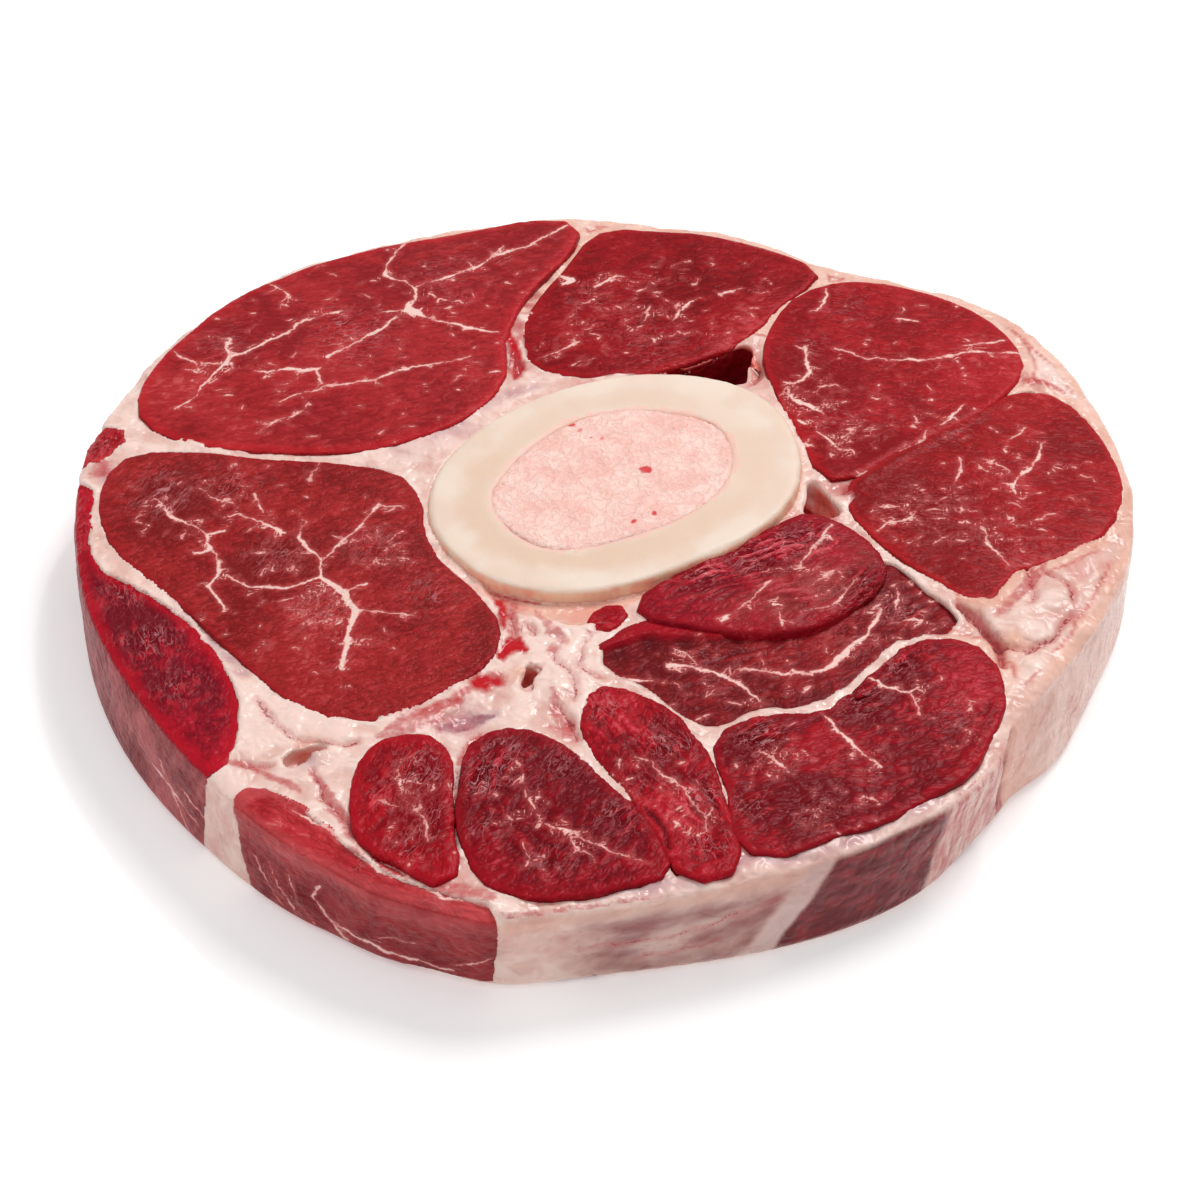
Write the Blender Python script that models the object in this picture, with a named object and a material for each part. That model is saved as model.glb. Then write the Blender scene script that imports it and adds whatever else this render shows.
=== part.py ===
# Raw beef shank: one cross-cut slice with its oval marrow bone, lying flat.
# Metres, +Z up, the origin under the middle of the slice. The front is -Y.
# Every muscle, the bone and the marrow run right through the slice, from the
# resting face up to the cut face, and the fat with its fasciae is the web that
# holds them.

import math

import bmesh
import bpy
from mathutils import Vector, noise
from mathutils.geometry import interpolate_bezier

MM = 0.001

# The slice
SLICE_TOP = 20.3 * MM  # fat between the muscles
SLICE_MIDDLE = (0.75, 9.5)  # mm, middle of the outlines' box, moved to the origin
RIM_ROUND = 2.4 * MM  # upper edge of the outer wall
FOOT_ROUND = 2.2 * MM  # lower edge of the outer wall
WALL_WAVE = 0.9 * MM  # how far the outer wall swells in and out
WALL_WAVE_LENGTH = 26 * MM
# Where the wall leans: a place on the rim, how far its foot stands out there, and
# how far along the rim that reaches, all in mm
WALL_LEANS = (
    ((-80, -36), 1.9, 26), ((-17, -84), -2.4, 30), ((40, -70), 0.9, 24), ((64, -50), -2.2, 13),
    ((80, -33), 3.0, 15),
)

# Play between neighbouring pieces, and the finest steps of the outlines
PLAY = 0.32 * MM
OUTLINE_STEP = 4.8 * MM
SMALL_STEP = 3.6 * MM  # on the outlines of small muscles
SMALL_LENGTH = 150 * MM  # an outline shorter than this is a small one
CURVE_POINTS = 17  # fine points between two given ones, before the even steps
FACE_STEP = 7.5 * MM  # squares of the cut face
BONE_FACE_STEP = 12 * MM  # the same on the sawn bone, which is flatter
HOLLOW_STEP = 2 * MM  # on the outlines of the hollows
SNAP = 0.6 * MM  # corners nearer than this to a cut are used by it
LEVEL = 1e-6  # corners that differ by less in height are at one height
SOFT_FROM = 0.6  # share of the height above which the cut face's swell is felt
EDGE_ROUND = 0.7 * MM  # upper edge of a muscle
UNDER_ROUND = 0.7 * MM  # lower edge of a muscle
THROUGH = 2 * MM  # how far a cutter reaches past the resting face

# How unevenly the cut face lies: height and length of each wave
MUSCLE_LUMPS = ((0.45 * MM, 15 * MM), (0.5 * MM, 34 * MM))
FAT_LUMPS = ((0.7 * MM, 9 * MM), (0.4 * MM, 30 * MM))
MARROW_LUMPS = ((0.5 * MM, 8 * MM),)
DOME_REACH = 6 * MM  # from a muscle's edge to the level part of its dome

# The bone and its marrow
BONE_TOP_LEFT = 21.6 * MM
BONE_TOP_RIGHT = 23.2 * MM
BONE_EDGE = 0.8 * MM
MARROW_SUNK = 0.3 * MM

# Outlines, in millimetres on the cut face, clockwise from the left
RIM = (
    (-95.7, 22), (-95, 32), (-91.5, 43), (-85.5, 58), (-76, 72.5), (-62.5, 85), (-44, 95),
    (-22, 101.8), (-5, 104), (17, 100.4), (34, 95), (46, 87.2), (62, 81.6), (76.5, 74), (87.2, 60),
    (94.4, 40), (97.2, 22), (95.2, 4), (89.2, -11), (80.2, -26), (73, -35.6), (70.6, -37.2),
    (70, -41), (65.6, -50.2), (56, -60.2), (40, -69.4), (22, -76), (-2, -82), (-17, -84.2),
    (-30, -79.8), (-44, -72), (-58, -61), (-70, -46.6), (-81.8, -28.8), (-89.8, -12), (-93.9, 4),
)
BONE = (
    (-31, 13), (-29.5, 24.5), (-23, 35), (-12, 44.5), (1, 50), (14, 51), (26, 47.5), (34, 38.5),
    (36.8, 26), (34.8, 15), (27.5, 5.5), (16, -2), (3, -8), (-9, -9.2), (-20, -5), (-28, 4),
)
MARROW = (
    (-19.5, 15), (-17, 23), (-12, 30.5), (-4, 37.6), (5, 39.8), (14, 39), (21.5, 35), (24.3, 27),
    (22, 18), (15, 10.5), (6, 5.5), (-5, 2), (-13, 4.5),
)

# One entry a muscle: height of its cut face over the resting face and how far it
# swells in the middle, both in millimetres, and its outline.
MUSCLES = {
    "muscle_back_left": (21.2, 0.5, (
        (-86, 40.5), (-85.6, 52), (-77, 67.9), (-66, 79.8), (-50, 89.6), (-30, 96.4), (-12, 101),
        (-5, 99.2), (-6.5, 90.6), (-15, 77), (-18.6, 63.4), (-18.8, 50.4), (-28, 38), (-45, 30.7),
        (-63, 30.6), (-79, 34),
    )),
    "muscle_back": (20.8, 0.4, (
        (0.2, 97.4), (12, 98), (27, 95), (39, 88.8), (42.6, 84), (35, 74.4), (28.8, 65.4),
        (18, 58), (5, 53.2), (-8, 53.6), (-14.4, 60), (-12.8, 73), (-6.4, 86),
    )),
    "muscle_right_upper": (21.0, 0.4, (
        (31.7, 58), (34.4, 69.5), (41, 78.6), (52, 80.6), (65, 77), (75, 69.6), (80.4, 58),
        (78.4, 50), (67, 38.8), (55, 31.3), (46.5, 23.4), (41.7, 22.8), (38.4, 31), (34.4, 45),
    )),
    "muscle_right": (20.8, 0.5, (
        (45.1, 17), (49.2, 23.2), (61, 32.4), (73.5, 43.2), (81, 48.2), (88.8, 43.2), (93.8, 32),
        (95.4, 20), (91.2, 8.4), (81.8, 1), (73.5, -2.6), (68.3, -10.4), (60.4, -5.2),
        (50.4, 5.4),
    )),
    "muscle_left": (20.8, 0.5, (
        (-87.6, 27.8), (-76, 30), (-61, 27.6), (-47, 26), (-38, 24.4), (-33.2, 17), (-32.2, 8.8),
        (-29.3, 0.8), (-23.2, -6.8), (-18, -16.5), (-19, -24.8), (-28.5, -33.8), (-39, -40.2),
        (-50.8, -36.6), (-63, -23.8), (-78, -6.2), (-87, 3.6), (-91, 17),
    )),
    "muscle_front_small_left": (20.9, 0.5, (
        (-38.6, -47), (-41, -55), (-40, -63), (-36.6, -69), (-31, -73.4), (-25.3, -76.2),
        (-24.9, -66), (-25.4, -57), (-25.2, -50), (-28.5, -44.4), (-34, -44),
    )),
    "muscle_front_small_right": (20.9, 0.4, (
        (-21.6, -46), (-22.8, -56), (-22.6, -66), (-19.8, -74.4), (-13, -79.2), (-4, -78.8),
        (5, -77), (11, -74.4), (8.2, -67), (1, -55), (-7, -45.4), (-15, -42),
    )),
    "muscle_front_wedge": (20.9, 0.4, (
        (0.6, -32), (-2.8, -37.5), (-1.6, -46), (3.6, -54.8), (9.8, -65), (14.2, -73.6),
        (20.2, -73.4), (21.5, -66), (19.3, -54), (16.2, -45), (8.8, -36.4),
    )),
    "muscle_front_right": (20.9, 0.5, (
        (21.5, -42.6), (19.6, -47.4), (21.7, -56.5), (24, -68.6), (33, -68), (44, -62.6), (55, -56.6),
        (63, -48.4), (68.4, -36), (68.2, -26.6), (63.4, -20.9), (54.6, -21.6), (46.6, -29.6),
        (38.4, -38), (29, -39),
    )),
    "muscle_front_middle": (19.6, 0.4, (
        (0.6, -21.5), (0.7, -27), (7, -31.4), (12.4, -36.6), (18.6, -42), (25, -38),
        (33, -36.8), (38, -35.4), (45, -27.8), (52.8, -19.6), (61.8, -18.2), (63, -14),
        (58.4, -7.8), (50.5, 1), (44, -6), (28, -16.5), (12, -14),
    )),
    "muscle_front_flap": (21.6, 1.0, (
        (7, -12.8), (13, -5), (22, 1.5), (30, 7), (37, 11.6), (42.8, 9.6), (49, 2.8),
        (50.4, -3.4), (44.5, -11.4), (37, -17.6), (27, -19), (16, -17.2),
    )),
    "muscle_front_scrap": (20.7, 0.3, (
        (-1.9, -15.3), (0.2, -12.4), (2.8, -11.4), (4.6, -12.8), (3.4, -15.6), (1, -17.8),
    )),
}

# Muscles that reach the outer wall: height, swell, and the outline inside the
# slice, then points beyond the rim. Each narrows downwards to a share of its
# outline about one place, given last.
RIM_MUSCLES = {
    "muscle_left_rim": (20.0, 0.6, (
        (-95.8, 23.2), (-93.2, 21.2), (-92.5, 13), (-91.8, 5.6), (-89.4, -1.6), (-82.4, -6.4),
        (-74.6, -13), (-67.6, -22.4), (-62, -33.2), (-61, -41), (-62, -49.2), (-65.6, -52.6),
        (-78, -59), (-96, -42), (-108, -12), (-104, 16),
    ), 0.96, (-95, 20)),
    "muscle_left_corner": (20.4, 0.3, (
        (-95.6, 27), (-93, 27.4), (-91, 30.4), (-88.4, 33), (-89.6, 36.8), (-92.4, 37.4),
        (-97, 40), (-101, 34),
    ), 1.0, (-95, 33)),
    "muscle_front_left_rim": (19.9, 0.4, (
        (-59.7, -55.2), (-54.6, -56.2), (-49.6, -60.6), (-44, -66.4), (-38.6, -71.6), (-31, -76.6),
        (-22, -80.2), (-17.4, -82), (-16.6, -94), (-36, -94), (-54, -82), (-64.4, -66),
    ), 0.9, (-16.5, -84)),
}

# Hollows of the fat: outline in millimetres and the height of the hollow's floor
HOLLOWS = {
    "gap_behind_bone": (11, (
        (12, 54.2), (18, 57), (27.4, 63.2), (29.6, 62.6), (28.6, 56), (27.4, 50.6), (20, 52.4),
    )),
    "pit_beside_bone": (15, ((37.4, 19), (38.2, 23), (42, 19.6), (45, 14.6), (42.5, 11.6), (37, 12.6))),
    "vessel": (14.5, ((-15, -30), (-13.4, -25.8), (-10.4, -26.4), (-10.2, -30.4), (-12.6, -32.4))),
    "front_left_pit": (16.5, ((-54, -48.6), (-49, -44.6), (-45.4, -45.4), (-47.6, -49), (-52.4, -51.4))),
    "front_notch": (15, ((11.4, -67), (13.4, -71.5), (13.8, -76.2), (12.2, -76.2), (10.9, -71.5))),
}

# Colours (red, green, blue) and roughnesses
FAT_COLOUR = (0.80, 0.56, 0.50)
BONE_COLOUR = (0.86, 0.70, 0.56)
MARROW_COLOUR = (0.91, 0.62, 0.55)
MEAT_COLOUR = (0.33, 0.035, 0.042)
DARK_MEAT_COLOUR = (0.21, 0.026, 0.03)
FAT_ROUGHNESS = 0.45
BONE_ROUGHNESS = 0.5
MEAT_ROUGHNESS = 0.42
WET_ROUGHNESS = 0.34
SMOOTH_UNDER = 40  # degrees between faces that are shaded as one


def plan(point):
    """A millimetre point of the cut face as a place in metres about the origin."""
    return Vector(((point[0] - SLICE_MIDDLE[0]) * MM, (point[1] - SLICE_MIDDLE[1]) * MM, 0))


def smooth_loop(points, step=None):
    """Even steps along the closed curve through the points."""
    corners = [plan(p) for p in points]
    count = len(corners)
    fine = []
    for i, here in enumerate(corners):
        before = corners[i - 1]
        after = corners[(i + 1) % count]
        beyond = corners[(i + 2) % count]
        reach = (after - here).length / 3
        leaving = here + (after - before).normalized() * reach
        arriving = after - (beyond - here).normalized() * reach
        fine += interpolate_bezier(here, leaving, arriving, after, CURVE_POINTS)[:-1]
    return even_steps(fine, step)


def even_steps(fine, step):
    lengths = [(fine[(i + 1) % len(fine)] - p).length for i, p in enumerate(fine)]
    around = sum(lengths)
    if step is None:
        step = SMALL_STEP if around < SMALL_LENGTH else OUTLINE_STEP
    wanted = max(8, round(around / step))
    pace = around / wanted
    loop = []
    walked = 0.0
    for i, length in enumerate(lengths):
        while len(loop) * pace < walked + length - 1e-9 and len(loop) < wanted:
            share = (len(loop) * pace - walked) / length
            loop.append(fine[i].lerp(fine[(i + 1) % len(fine)], share))
        walked += length
    return loop


def area(loop):
    return sum(a.x * b.y - b.x * a.y for a, b in zip(loop, loop[1:] + loop[:1])) / 2


def grown(loop, distance):
    """The loop moved outwards along its own normals."""
    side = 1 if area(loop) > 0 else -1
    count = len(loop)
    moved = []
    for i, here in enumerate(loop):
        along = (loop[(i + 1) % count] - loop[i - 1]).normalized()
        moved.append(here + Vector((along.y, -along.x, 0)) * side * distance)
    return moved


def column(loop, low, high):
    """A straight-walled solid over the loop."""
    bm = bmesh.new()
    face = bm.faces.new([bm.verts.new((p.x, p.y, low)) for p in loop])
    made = bmesh.ops.extrude_face_region(bm, geom=[face])
    top = [v for v in made["geom"] if isinstance(v, bmesh.types.BMVert)]
    bmesh.ops.translate(bm, verts=top, vec=(0, 0, high - low))
    bmesh.ops.recalc_face_normals(bm, faces=bm.faces)
    return bm


def is_level(part, height):
    """Whether an edge or a face lies at one height."""
    return all(abs(v.co.z - height) < LEVEL for v in part.verts)


def round_edges(bm, height, radius, steps):
    bmesh.ops.bevel(
        bm, geom=[e for e in bm.edges if is_level(e, height)], offset=radius,
        offset_type="OFFSET", segments=steps, profile=0.5, affect="EDGES",
        clamp_overlap=True, material=-1,
    )


def square_up(bm, height, step=FACE_STEP):
    """Cuts the face at this height into squares, so that it can swell."""
    for axis in (0, 1):
        places = [v.co[axis] for v in bm.verts]
        place = (math.floor(min(places) / step) + 0.5) * step
        while place < max(places):
            at = Vector((0, 0, 0))
            at[axis] = place
            normal = Vector((0, 0, 0))
            normal[axis] = 1
            faces = [f for f in bm.faces if is_level(f, height)]
            edges = {e for f in faces for e in f.edges}
            verts = {v for f in faces for v in f.verts}
            bmesh.ops.bisect_plane(
                bm, geom=[*faces, *edges, *verts], dist=SNAP, plane_co=at, plane_no=normal
            )
            place += step


def ripple(x, y, length, seed):
    return noise.noise(Vector((x / length, y / length, seed * 3.7)))


def waves(x, y, lumps, seed):
    return sum(height * ripple(x, y, length, seed) for height, length in lumps)


def lift(bm, high, shape):
    """Raises the solid's upper part by shape(x, y), more the higher a corner lies."""
    low = high * SOFT_FROM
    for v in bm.verts:
        share = (v.co.z - low) / (high - low)
        if share > 0:
            v.co.z += shape(v.co.x, v.co.y) * min(share, 1.0) ** 2


def nearness(loop, x, y):
    """Distance in metres from a place to the loop's corners."""
    return min(math.hypot(p.x - x, p.y - y) for p in loop)


def add_object(name, bm, colour, roughness):
    mesh = bpy.data.meshes.new(name)
    bmesh.ops.recalc_face_normals(bm, faces=bm.faces)
    bm.to_mesh(mesh)
    bm.free()
    mesh.shade_smooth()
    mesh.set_sharp_from_angle(angle=math.radians(SMOOTH_UNDER))
    piece = bpy.data.objects.new(name, mesh)
    bpy.context.scene.collection.objects.link(piece)
    material = bpy.data.materials.new(name)
    material.use_nodes = True
    surface = material.node_tree.nodes["Principled BSDF"]
    surface.inputs["Base Color"].default_value = (*colour, 1)
    surface.inputs["Roughness"].default_value = roughness
    surface.inputs["Metallic"].default_value = 0
    mesh.materials.append(material)
    return piece


def add_cutter(name, bm, group):
    mesh = bpy.data.meshes.new(name)
    bm.to_mesh(mesh)
    bm.free()
    cutter = bpy.data.objects.new(name, mesh)
    group.objects.link(cutter)
    cutter.hide_render = True
    cutter.display_type = "WIRE"
    return cutter


def add_boolean(piece, operation, cutter=None, group=None):
    boolean = piece.modifiers.new(operation.lower(), "BOOLEAN")
    boolean.operation = operation
    boolean.solver = "EXACT"
    if group:
        boolean.operand_type = "COLLECTION"
        boolean.collection = group
    else:
        boolean.object = cutter


def lean(x, y):
    """How far the foot of the wall stands out from its rim at a place."""
    out = 0.0
    for place, amount, reach in WALL_LEANS:
        away = (Vector((x, y, 0)) - plan(place)).length / (reach * MM)
        out += amount * MM * math.exp(-away * away)
    return out


def slab(top, shape):
    """The whole slice as one block with a rounded, softly swelling wall."""
    loop = smooth_loop(RIM)
    bm = column(loop, 0, top)
    walls = [e for e in bm.edges if abs(e.verts[0].co.z - e.verts[1].co.z) > top / 2]
    bmesh.ops.subdivide_edges(bm, edges=walls, cuts=2, use_grid_fill=False)
    for v in bm.verts:
        outwards = Vector((v.co.x, v.co.y, 0)).normalized()
        depth = 1 - v.co.z / top
        swell = WALL_WAVE * ripple(v.co.x, v.co.y, WALL_WAVE_LENGTH, depth)
        v.co += outwards * (swell * math.sin(math.pi * depth) + lean(v.co.x, v.co.y) * depth)
    round_edges(bm, top, RIM_ROUND, 3)
    round_edges(bm, 0, FOOT_ROUND, 2)
    square_up(bm, top)
    lift(bm, top, shape)
    return bm


def muscle_top(loop, swell, seed):
    """Height over the nominal face: a low dome with soft lumps."""
    def shape(x, y):
        dome = swell * MM * (1 - math.exp(-nearness(loop, x, y) / DOME_REACH))
        return dome + waves(x, y, MUSCLE_LUMPS, seed)
    return shape


def fat_top(x, y):
    return waves(x, y, FAT_LUMPS, 11)


def room_for(outline, narrowing=1.0, about=SLICE_MIDDLE, play=PLAY):
    """A cutter over an outline, with play all round, that may narrow downwards."""
    bm = column(grown(smooth_loop(outline), play), -THROUGH, SLICE_TOP + THROUGH * 2)
    centre = plan(about)
    for v in bm.verts:
        if v.co.z < 0:
            v.co.xy = centre.xy + (v.co.xy - centre.xy) * narrowing
    return bm


def cut_out(piece, outline, group):
    """Takes the room of a neighbour out of a piece."""
    cutter = add_cutter(piece.name + "_neighbour", room_for(outline), group)
    add_boolean(piece, "DIFFERENCE", cutter=cutter)


def make_muscle(name, top_mm, swell, outline, seed):
    loop = smooth_loop(outline)
    top = top_mm * MM
    bm = column(loop, 0, top)
    round_edges(bm, top, EDGE_ROUND, 2)
    round_edges(bm, 0, UNDER_ROUND, 1)
    square_up(bm, top)
    lift(bm, top, muscle_top(loop, swell, seed))
    return add_object(name, bm, MEAT_COLOUR, MEAT_ROUGHNESS)


def make_rim_muscle(name, top_mm, swell, outline, narrowing, about, seed, cutters):
    """A muscle that shows on the outer wall: the slab's own wall, cut to the outline."""
    block = slab(top_mm * MM, muscle_top(smooth_loop(outline), swell, seed))
    piece = add_object(name, block, DARK_MEAT_COLOUR, WET_ROUGHNESS)
    region = room_for(outline, narrowing, about, play=0)
    add_boolean(piece, "INTERSECT", cutter=add_cutter(name + "_region", region, cutters))


def make_bone(bores):
    """The oval ring of the shaft, with a hole for the marrow."""
    loop = smooth_loop(BONE)
    bm = column(loop, 0, BONE_TOP_LEFT)
    round_edges(bm, BONE_TOP_LEFT, BONE_EDGE, 2)
    round_edges(bm, 0, UNDER_ROUND, 1)
    square_up(bm, BONE_TOP_LEFT, BONE_FACE_STEP)
    lift(bm, BONE_TOP_LEFT, bone_slope)
    piece = add_object("bone", bm, BONE_COLOUR, BONE_ROUGHNESS)
    bore = add_cutter("marrow_bore", room_for(MARROW), bores)
    add_boolean(piece, "DIFFERENCE", cutter=bore)


def bone_slope(x, _y):
    """The saw cut over the bone rises from its left end to its right."""
    left, right = min(BONE)[0], max(BONE)[0]
    along = (x / MM + SLICE_MIDDLE[0] - left) / (right - left)
    return (BONE_TOP_RIGHT - BONE_TOP_LEFT) * along


def make_marrow():
    loop = smooth_loop(MARROW)
    top = BONE_TOP_LEFT - MARROW_SUNK
    bm = column(loop, 0, top)
    round_edges(bm, top, EDGE_ROUND / 2, 1)
    square_up(bm, top)

    def shape(x, y):
        return bone_slope(x, y) + waves(x, y, MARROW_LUMPS, 21)

    lift(bm, top, shape)
    add_object("marrow", bm, MARROW_COLOUR, MEAT_ROUGHNESS)


def make_fat(cutters):
    """The web of fat, fascia and outer skin, with a hole for every other piece."""
    piece = add_object("fat_and_sinew", slab(SLICE_TOP, fat_top), FAT_COLOUR, FAT_ROUGHNESS)
    add_cutter("room_for_bone", room_for(BONE), cutters)
    for name, (_top, _swell, *outline) in {**MUSCLES, **RIM_MUSCLES}.items():
        add_cutter("room_for_" + name, room_for(*outline), cutters)
    for name, (floor, outline) in HOLLOWS.items():
        loop = smooth_loop(outline, HOLLOW_STEP)
        add_cutter(name, column(loop, floor * MM, SLICE_TOP + THROUGH), cutters)
    add_boolean(piece, "DIFFERENCE", group=cutters)


def new_group(name):
    group = bpy.data.collections.new(name)
    bpy.context.scene.collection.children.link(group)
    return group


def main():
    for old in list(bpy.data.objects):
        bpy.data.objects.remove(old, do_unlink=True)
    rooms = new_group("rooms_in_the_fat")
    shapers = new_group("outlines_of_pieces")
    make_fat(rooms)
    make_bone(shapers)
    make_marrow()
    pieces = {}
    for seed, (name, (top, swell, outline)) in enumerate(MUSCLES.items()):
        pieces[name] = make_muscle(name, top, swell, outline, seed + 1)
    for seed, (name, settings) in enumerate(RIM_MUSCLES.items()):
        make_rim_muscle(name, *settings, seed + 31, shapers)
    cut_out(pieces["muscle_front_middle"], MUSCLES["muscle_front_flap"][2], shapers)
    cut_out(pieces["muscle_front_flap"], BONE, shapers)


main()
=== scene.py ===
import math
import random

import bmesh
import bpy
import numpy as np
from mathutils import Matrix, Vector, kdtree, noise


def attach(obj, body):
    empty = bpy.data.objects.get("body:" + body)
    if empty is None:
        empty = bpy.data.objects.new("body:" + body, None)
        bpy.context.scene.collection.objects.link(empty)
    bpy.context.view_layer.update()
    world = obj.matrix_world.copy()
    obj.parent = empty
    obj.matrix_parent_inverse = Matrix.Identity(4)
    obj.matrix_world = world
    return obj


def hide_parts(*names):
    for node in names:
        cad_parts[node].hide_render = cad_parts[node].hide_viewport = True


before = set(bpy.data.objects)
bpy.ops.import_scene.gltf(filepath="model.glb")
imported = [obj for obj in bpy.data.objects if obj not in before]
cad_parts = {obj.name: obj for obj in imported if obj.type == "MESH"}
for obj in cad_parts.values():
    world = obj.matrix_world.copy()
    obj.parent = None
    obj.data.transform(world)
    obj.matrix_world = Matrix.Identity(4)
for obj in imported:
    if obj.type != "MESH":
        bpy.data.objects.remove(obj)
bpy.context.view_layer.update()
mm = 0.001
farAway = 99.0  # millimetres, where no drawn line is near
planShift = (0.75, 9.5)


def srgb(red, green, blue):
    # picture values 0 to 255 as the linear colour that nodes take
    def linear(value):
        value /= 255
        return value / 12.92 if value < 0.04045 else ((value + 0.055) / 1.055) ** 2.4

    return (linear(red), linear(green), linear(blue), 1)


def planOf(co):
    return co[:, :2] / mm + np.array(planShift)


def smooth(values, low, high):
    share = np.clip((values - low) / (high - low), 0, 1)
    return share * share * (3 - 2 * share)


def ripples(co, length, seed):
    # soft noise from about -1 to 1 at every point, length in millimetres
    step = 1 / (length * mm)
    shift = seed * 7.31
    return np.fromiter(
        (noise.noise((x * step + shift, y * step - shift, z * step)) for x, y, z in co), float, len(co)
    )


def crumple(co, length, seed):
    # rounded folds with sharp valleys between them, from -1 to 1
    broad = ripples(co, length, seed)
    fine = ripples(co, length * 0.45, seed + 1)
    return np.clip(np.abs(broad) * 4.2 + np.abs(fine) * 1.6 - 1.0, -1, 1)


def pleats(co, angle, along, across, seed):
    # folds drawn out along one direction of the cut face, with sharp valleys
    turn = math.radians(angle)
    x = (co[:, 0] * math.cos(turn) + co[:, 1] * math.sin(turn)) / (along * mm)
    y = (co[:, 1] * math.cos(turn) - co[:, 0] * math.sin(turn)) / (across * mm)
    y += 0.5 * ripples(co, 4, seed)
    waves = np.fromiter((noise.noise((a, b, seed * 3.3)) for a, b in zip(x, y)), float, len(co))
    return np.clip(np.abs(waves) * 4.4 - 1, -1, 1)


def wander(co, plan, near, far):
    # plan places pushed about by noise, so that no drawn line runs smoothly
    slow = np.stack([ripples(co, 5, 1), ripples(co, 5, 2)], 1) * far
    quick = np.stack([ripples(co, 1.8, 3), ripples(co, 1.8, 4)], 1) * near
    return plan + slow + quick


def nearest(plan, lines, taper=0.45):
    # the way from every point to the closest of the drawn lines, that line's half width there,
    # and the millimetres to its edge; a drawn line is its half width and its points
    way = np.full((len(plan), 2), farAway)
    half = np.zeros(len(plan))
    best = np.full(len(plan), farAway)
    for width, line in lines:
        points = np.array(line, float)
        total = np.linalg.norm(np.diff(points, axis=0), axis=1).sum()
        run = 0.0
        for start, end in zip(points, points[1:]):
            step = end - start
            size = math.hypot(*step)
            share = np.clip(((plan - start) @ step) / size**2, 0, 1)
            away = start + share[:, None] * step - plan
            ends = np.sin(math.pi * np.clip((run + share * size) / total, 0.02, 0.98))
            here = width * (taper + (1 - taper) * ends**0.5)
            gap = np.hypot(away[:, 0], away[:, 1]) - here
            closer = gap < best
            way[closer] = away[closer]
            half[closer] = here[closer]
            best[closer] = gap[closer]
            run += size
    return way, half, best


def onLine(plan, width, line, outer, inner):
    # 1 inside one drawn line, falling to 0 at outer millimetres from its edge
    return smooth(nearest(plan, [(width, line)])[2], outer, inner)


def spots(plan, places):
    # each entry is x, y, radius and strength; full in the middle, falling softly
    total = np.zeros(len(plan))
    for x, y, radius, strength in places:
        away = np.hypot(plan[:, 0] - x, plan[:, 1] - y) / radius
        total = np.maximum(total, strength * np.exp(-away * away * 1.4))
    return total


def stroke(x, y, turn, bent, long):
    # a short line in two halves, the second one turned aside
    mid = (x + math.cos(turn) * long / 2, y + math.sin(turn) * long / 2)
    return ((x, y), mid, (mid[0] + math.cos(bent) * long / 2, mid[1] + math.sin(bent) * long / 2))


def twigs(lines, chance, reach):
    # short side branches that leave the drawn lines at odd angles
    found = []
    for width, line in lines:
        for start, end in zip(line, line[1:]):
            for _ in range(round(math.dist(start, end) * 0.5)):
                if chance.random() < 0.45:
                    share = chance.random()
                    x = start[0] + (end[0] - start[0]) * share
                    y = start[1] + (end[1] - start[1]) * share
                    turn = math.atan2(end[1] - start[1], end[0] - start[0])
                    turn += chance.choice((-1, 1)) * chance.uniform(0.5, 1.6)
                    long = chance.uniform(0.35, 1) * reach
                    bent = turn + chance.uniform(-0.7, 0.7)
                    thin = chance.uniform(0.1, 0.3) * (width + 0.3)
                    found.append((thin, stroke(x, y, turn, bent, long)))
    return found


def dashes(groups, grain, chance):
    # specks and short strokes of marbling, scattered over round places: x, y, radius, how many
    found = []
    for x, y, radius, count in groups:
        for _ in range(count * 3 // 2):
            away = radius * math.sqrt(chance.random())
            turn = chance.uniform(0, 2 * math.pi)
            lean = math.radians(grain) + chance.gauss(0, 0.6)
            long = 0.2 + 2.2 * chance.random() ** 3
            bent = lean + chance.gauss(0, 0.5)
            speck = stroke(x + away * math.cos(turn), y + away * math.sin(turn), lean, bent, long)
            found.append((chance.uniform(0.09, 0.22), speck))
    return found


def rays(places, chance):
    # pale strokes that run towards one point: x, y, inner and outer radius, how many
    found = []
    for x, y, inner, outer, count in places:
        for _ in range(count):
            turn = chance.uniform(0, 2 * math.pi)
            reach = sorted((chance.uniform(inner, outer), chance.uniform(inner, outer)))
            ends = [(x + away * math.cos(turn), y + away * math.sin(turn)) for away in reach]
            found.append((0.1, ends))
    return found


def cadShape(node, swell, grow):
    # a closed copy of the node's loose triangles, grown sideways by swell, and by more near
    # the places in grow
    shape = bmesh.new()
    shape.from_mesh(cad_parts[node].data)
    bmesh.ops.remove_doubles(shape, verts=shape.verts, dist=0.002 * mm)
    shape.normal_update()
    plan = planOf(np.array([v.co for v in shape.verts]))
    extra = spots(plan, grow)
    for v, more in zip(shape.verts, extra):
        v.co += Vector((v.normal.x, v.normal.y, 0)) * (swell + more) * mm
    return shape


def applied(mesh, addModifiers):
    # the mesh with the modifiers that addModifiers puts on a helper object
    helper = bpy.data.objects.new("helper", mesh)
    bpy.context.scene.collection.objects.link(helper)
    addModifiers(helper)
    graph = bpy.context.evaluated_depsgraph_get()
    done = bpy.data.meshes.new_from_object(helper.evaluated_get(graph))
    bpy.data.objects.remove(helper)
    return done


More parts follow.
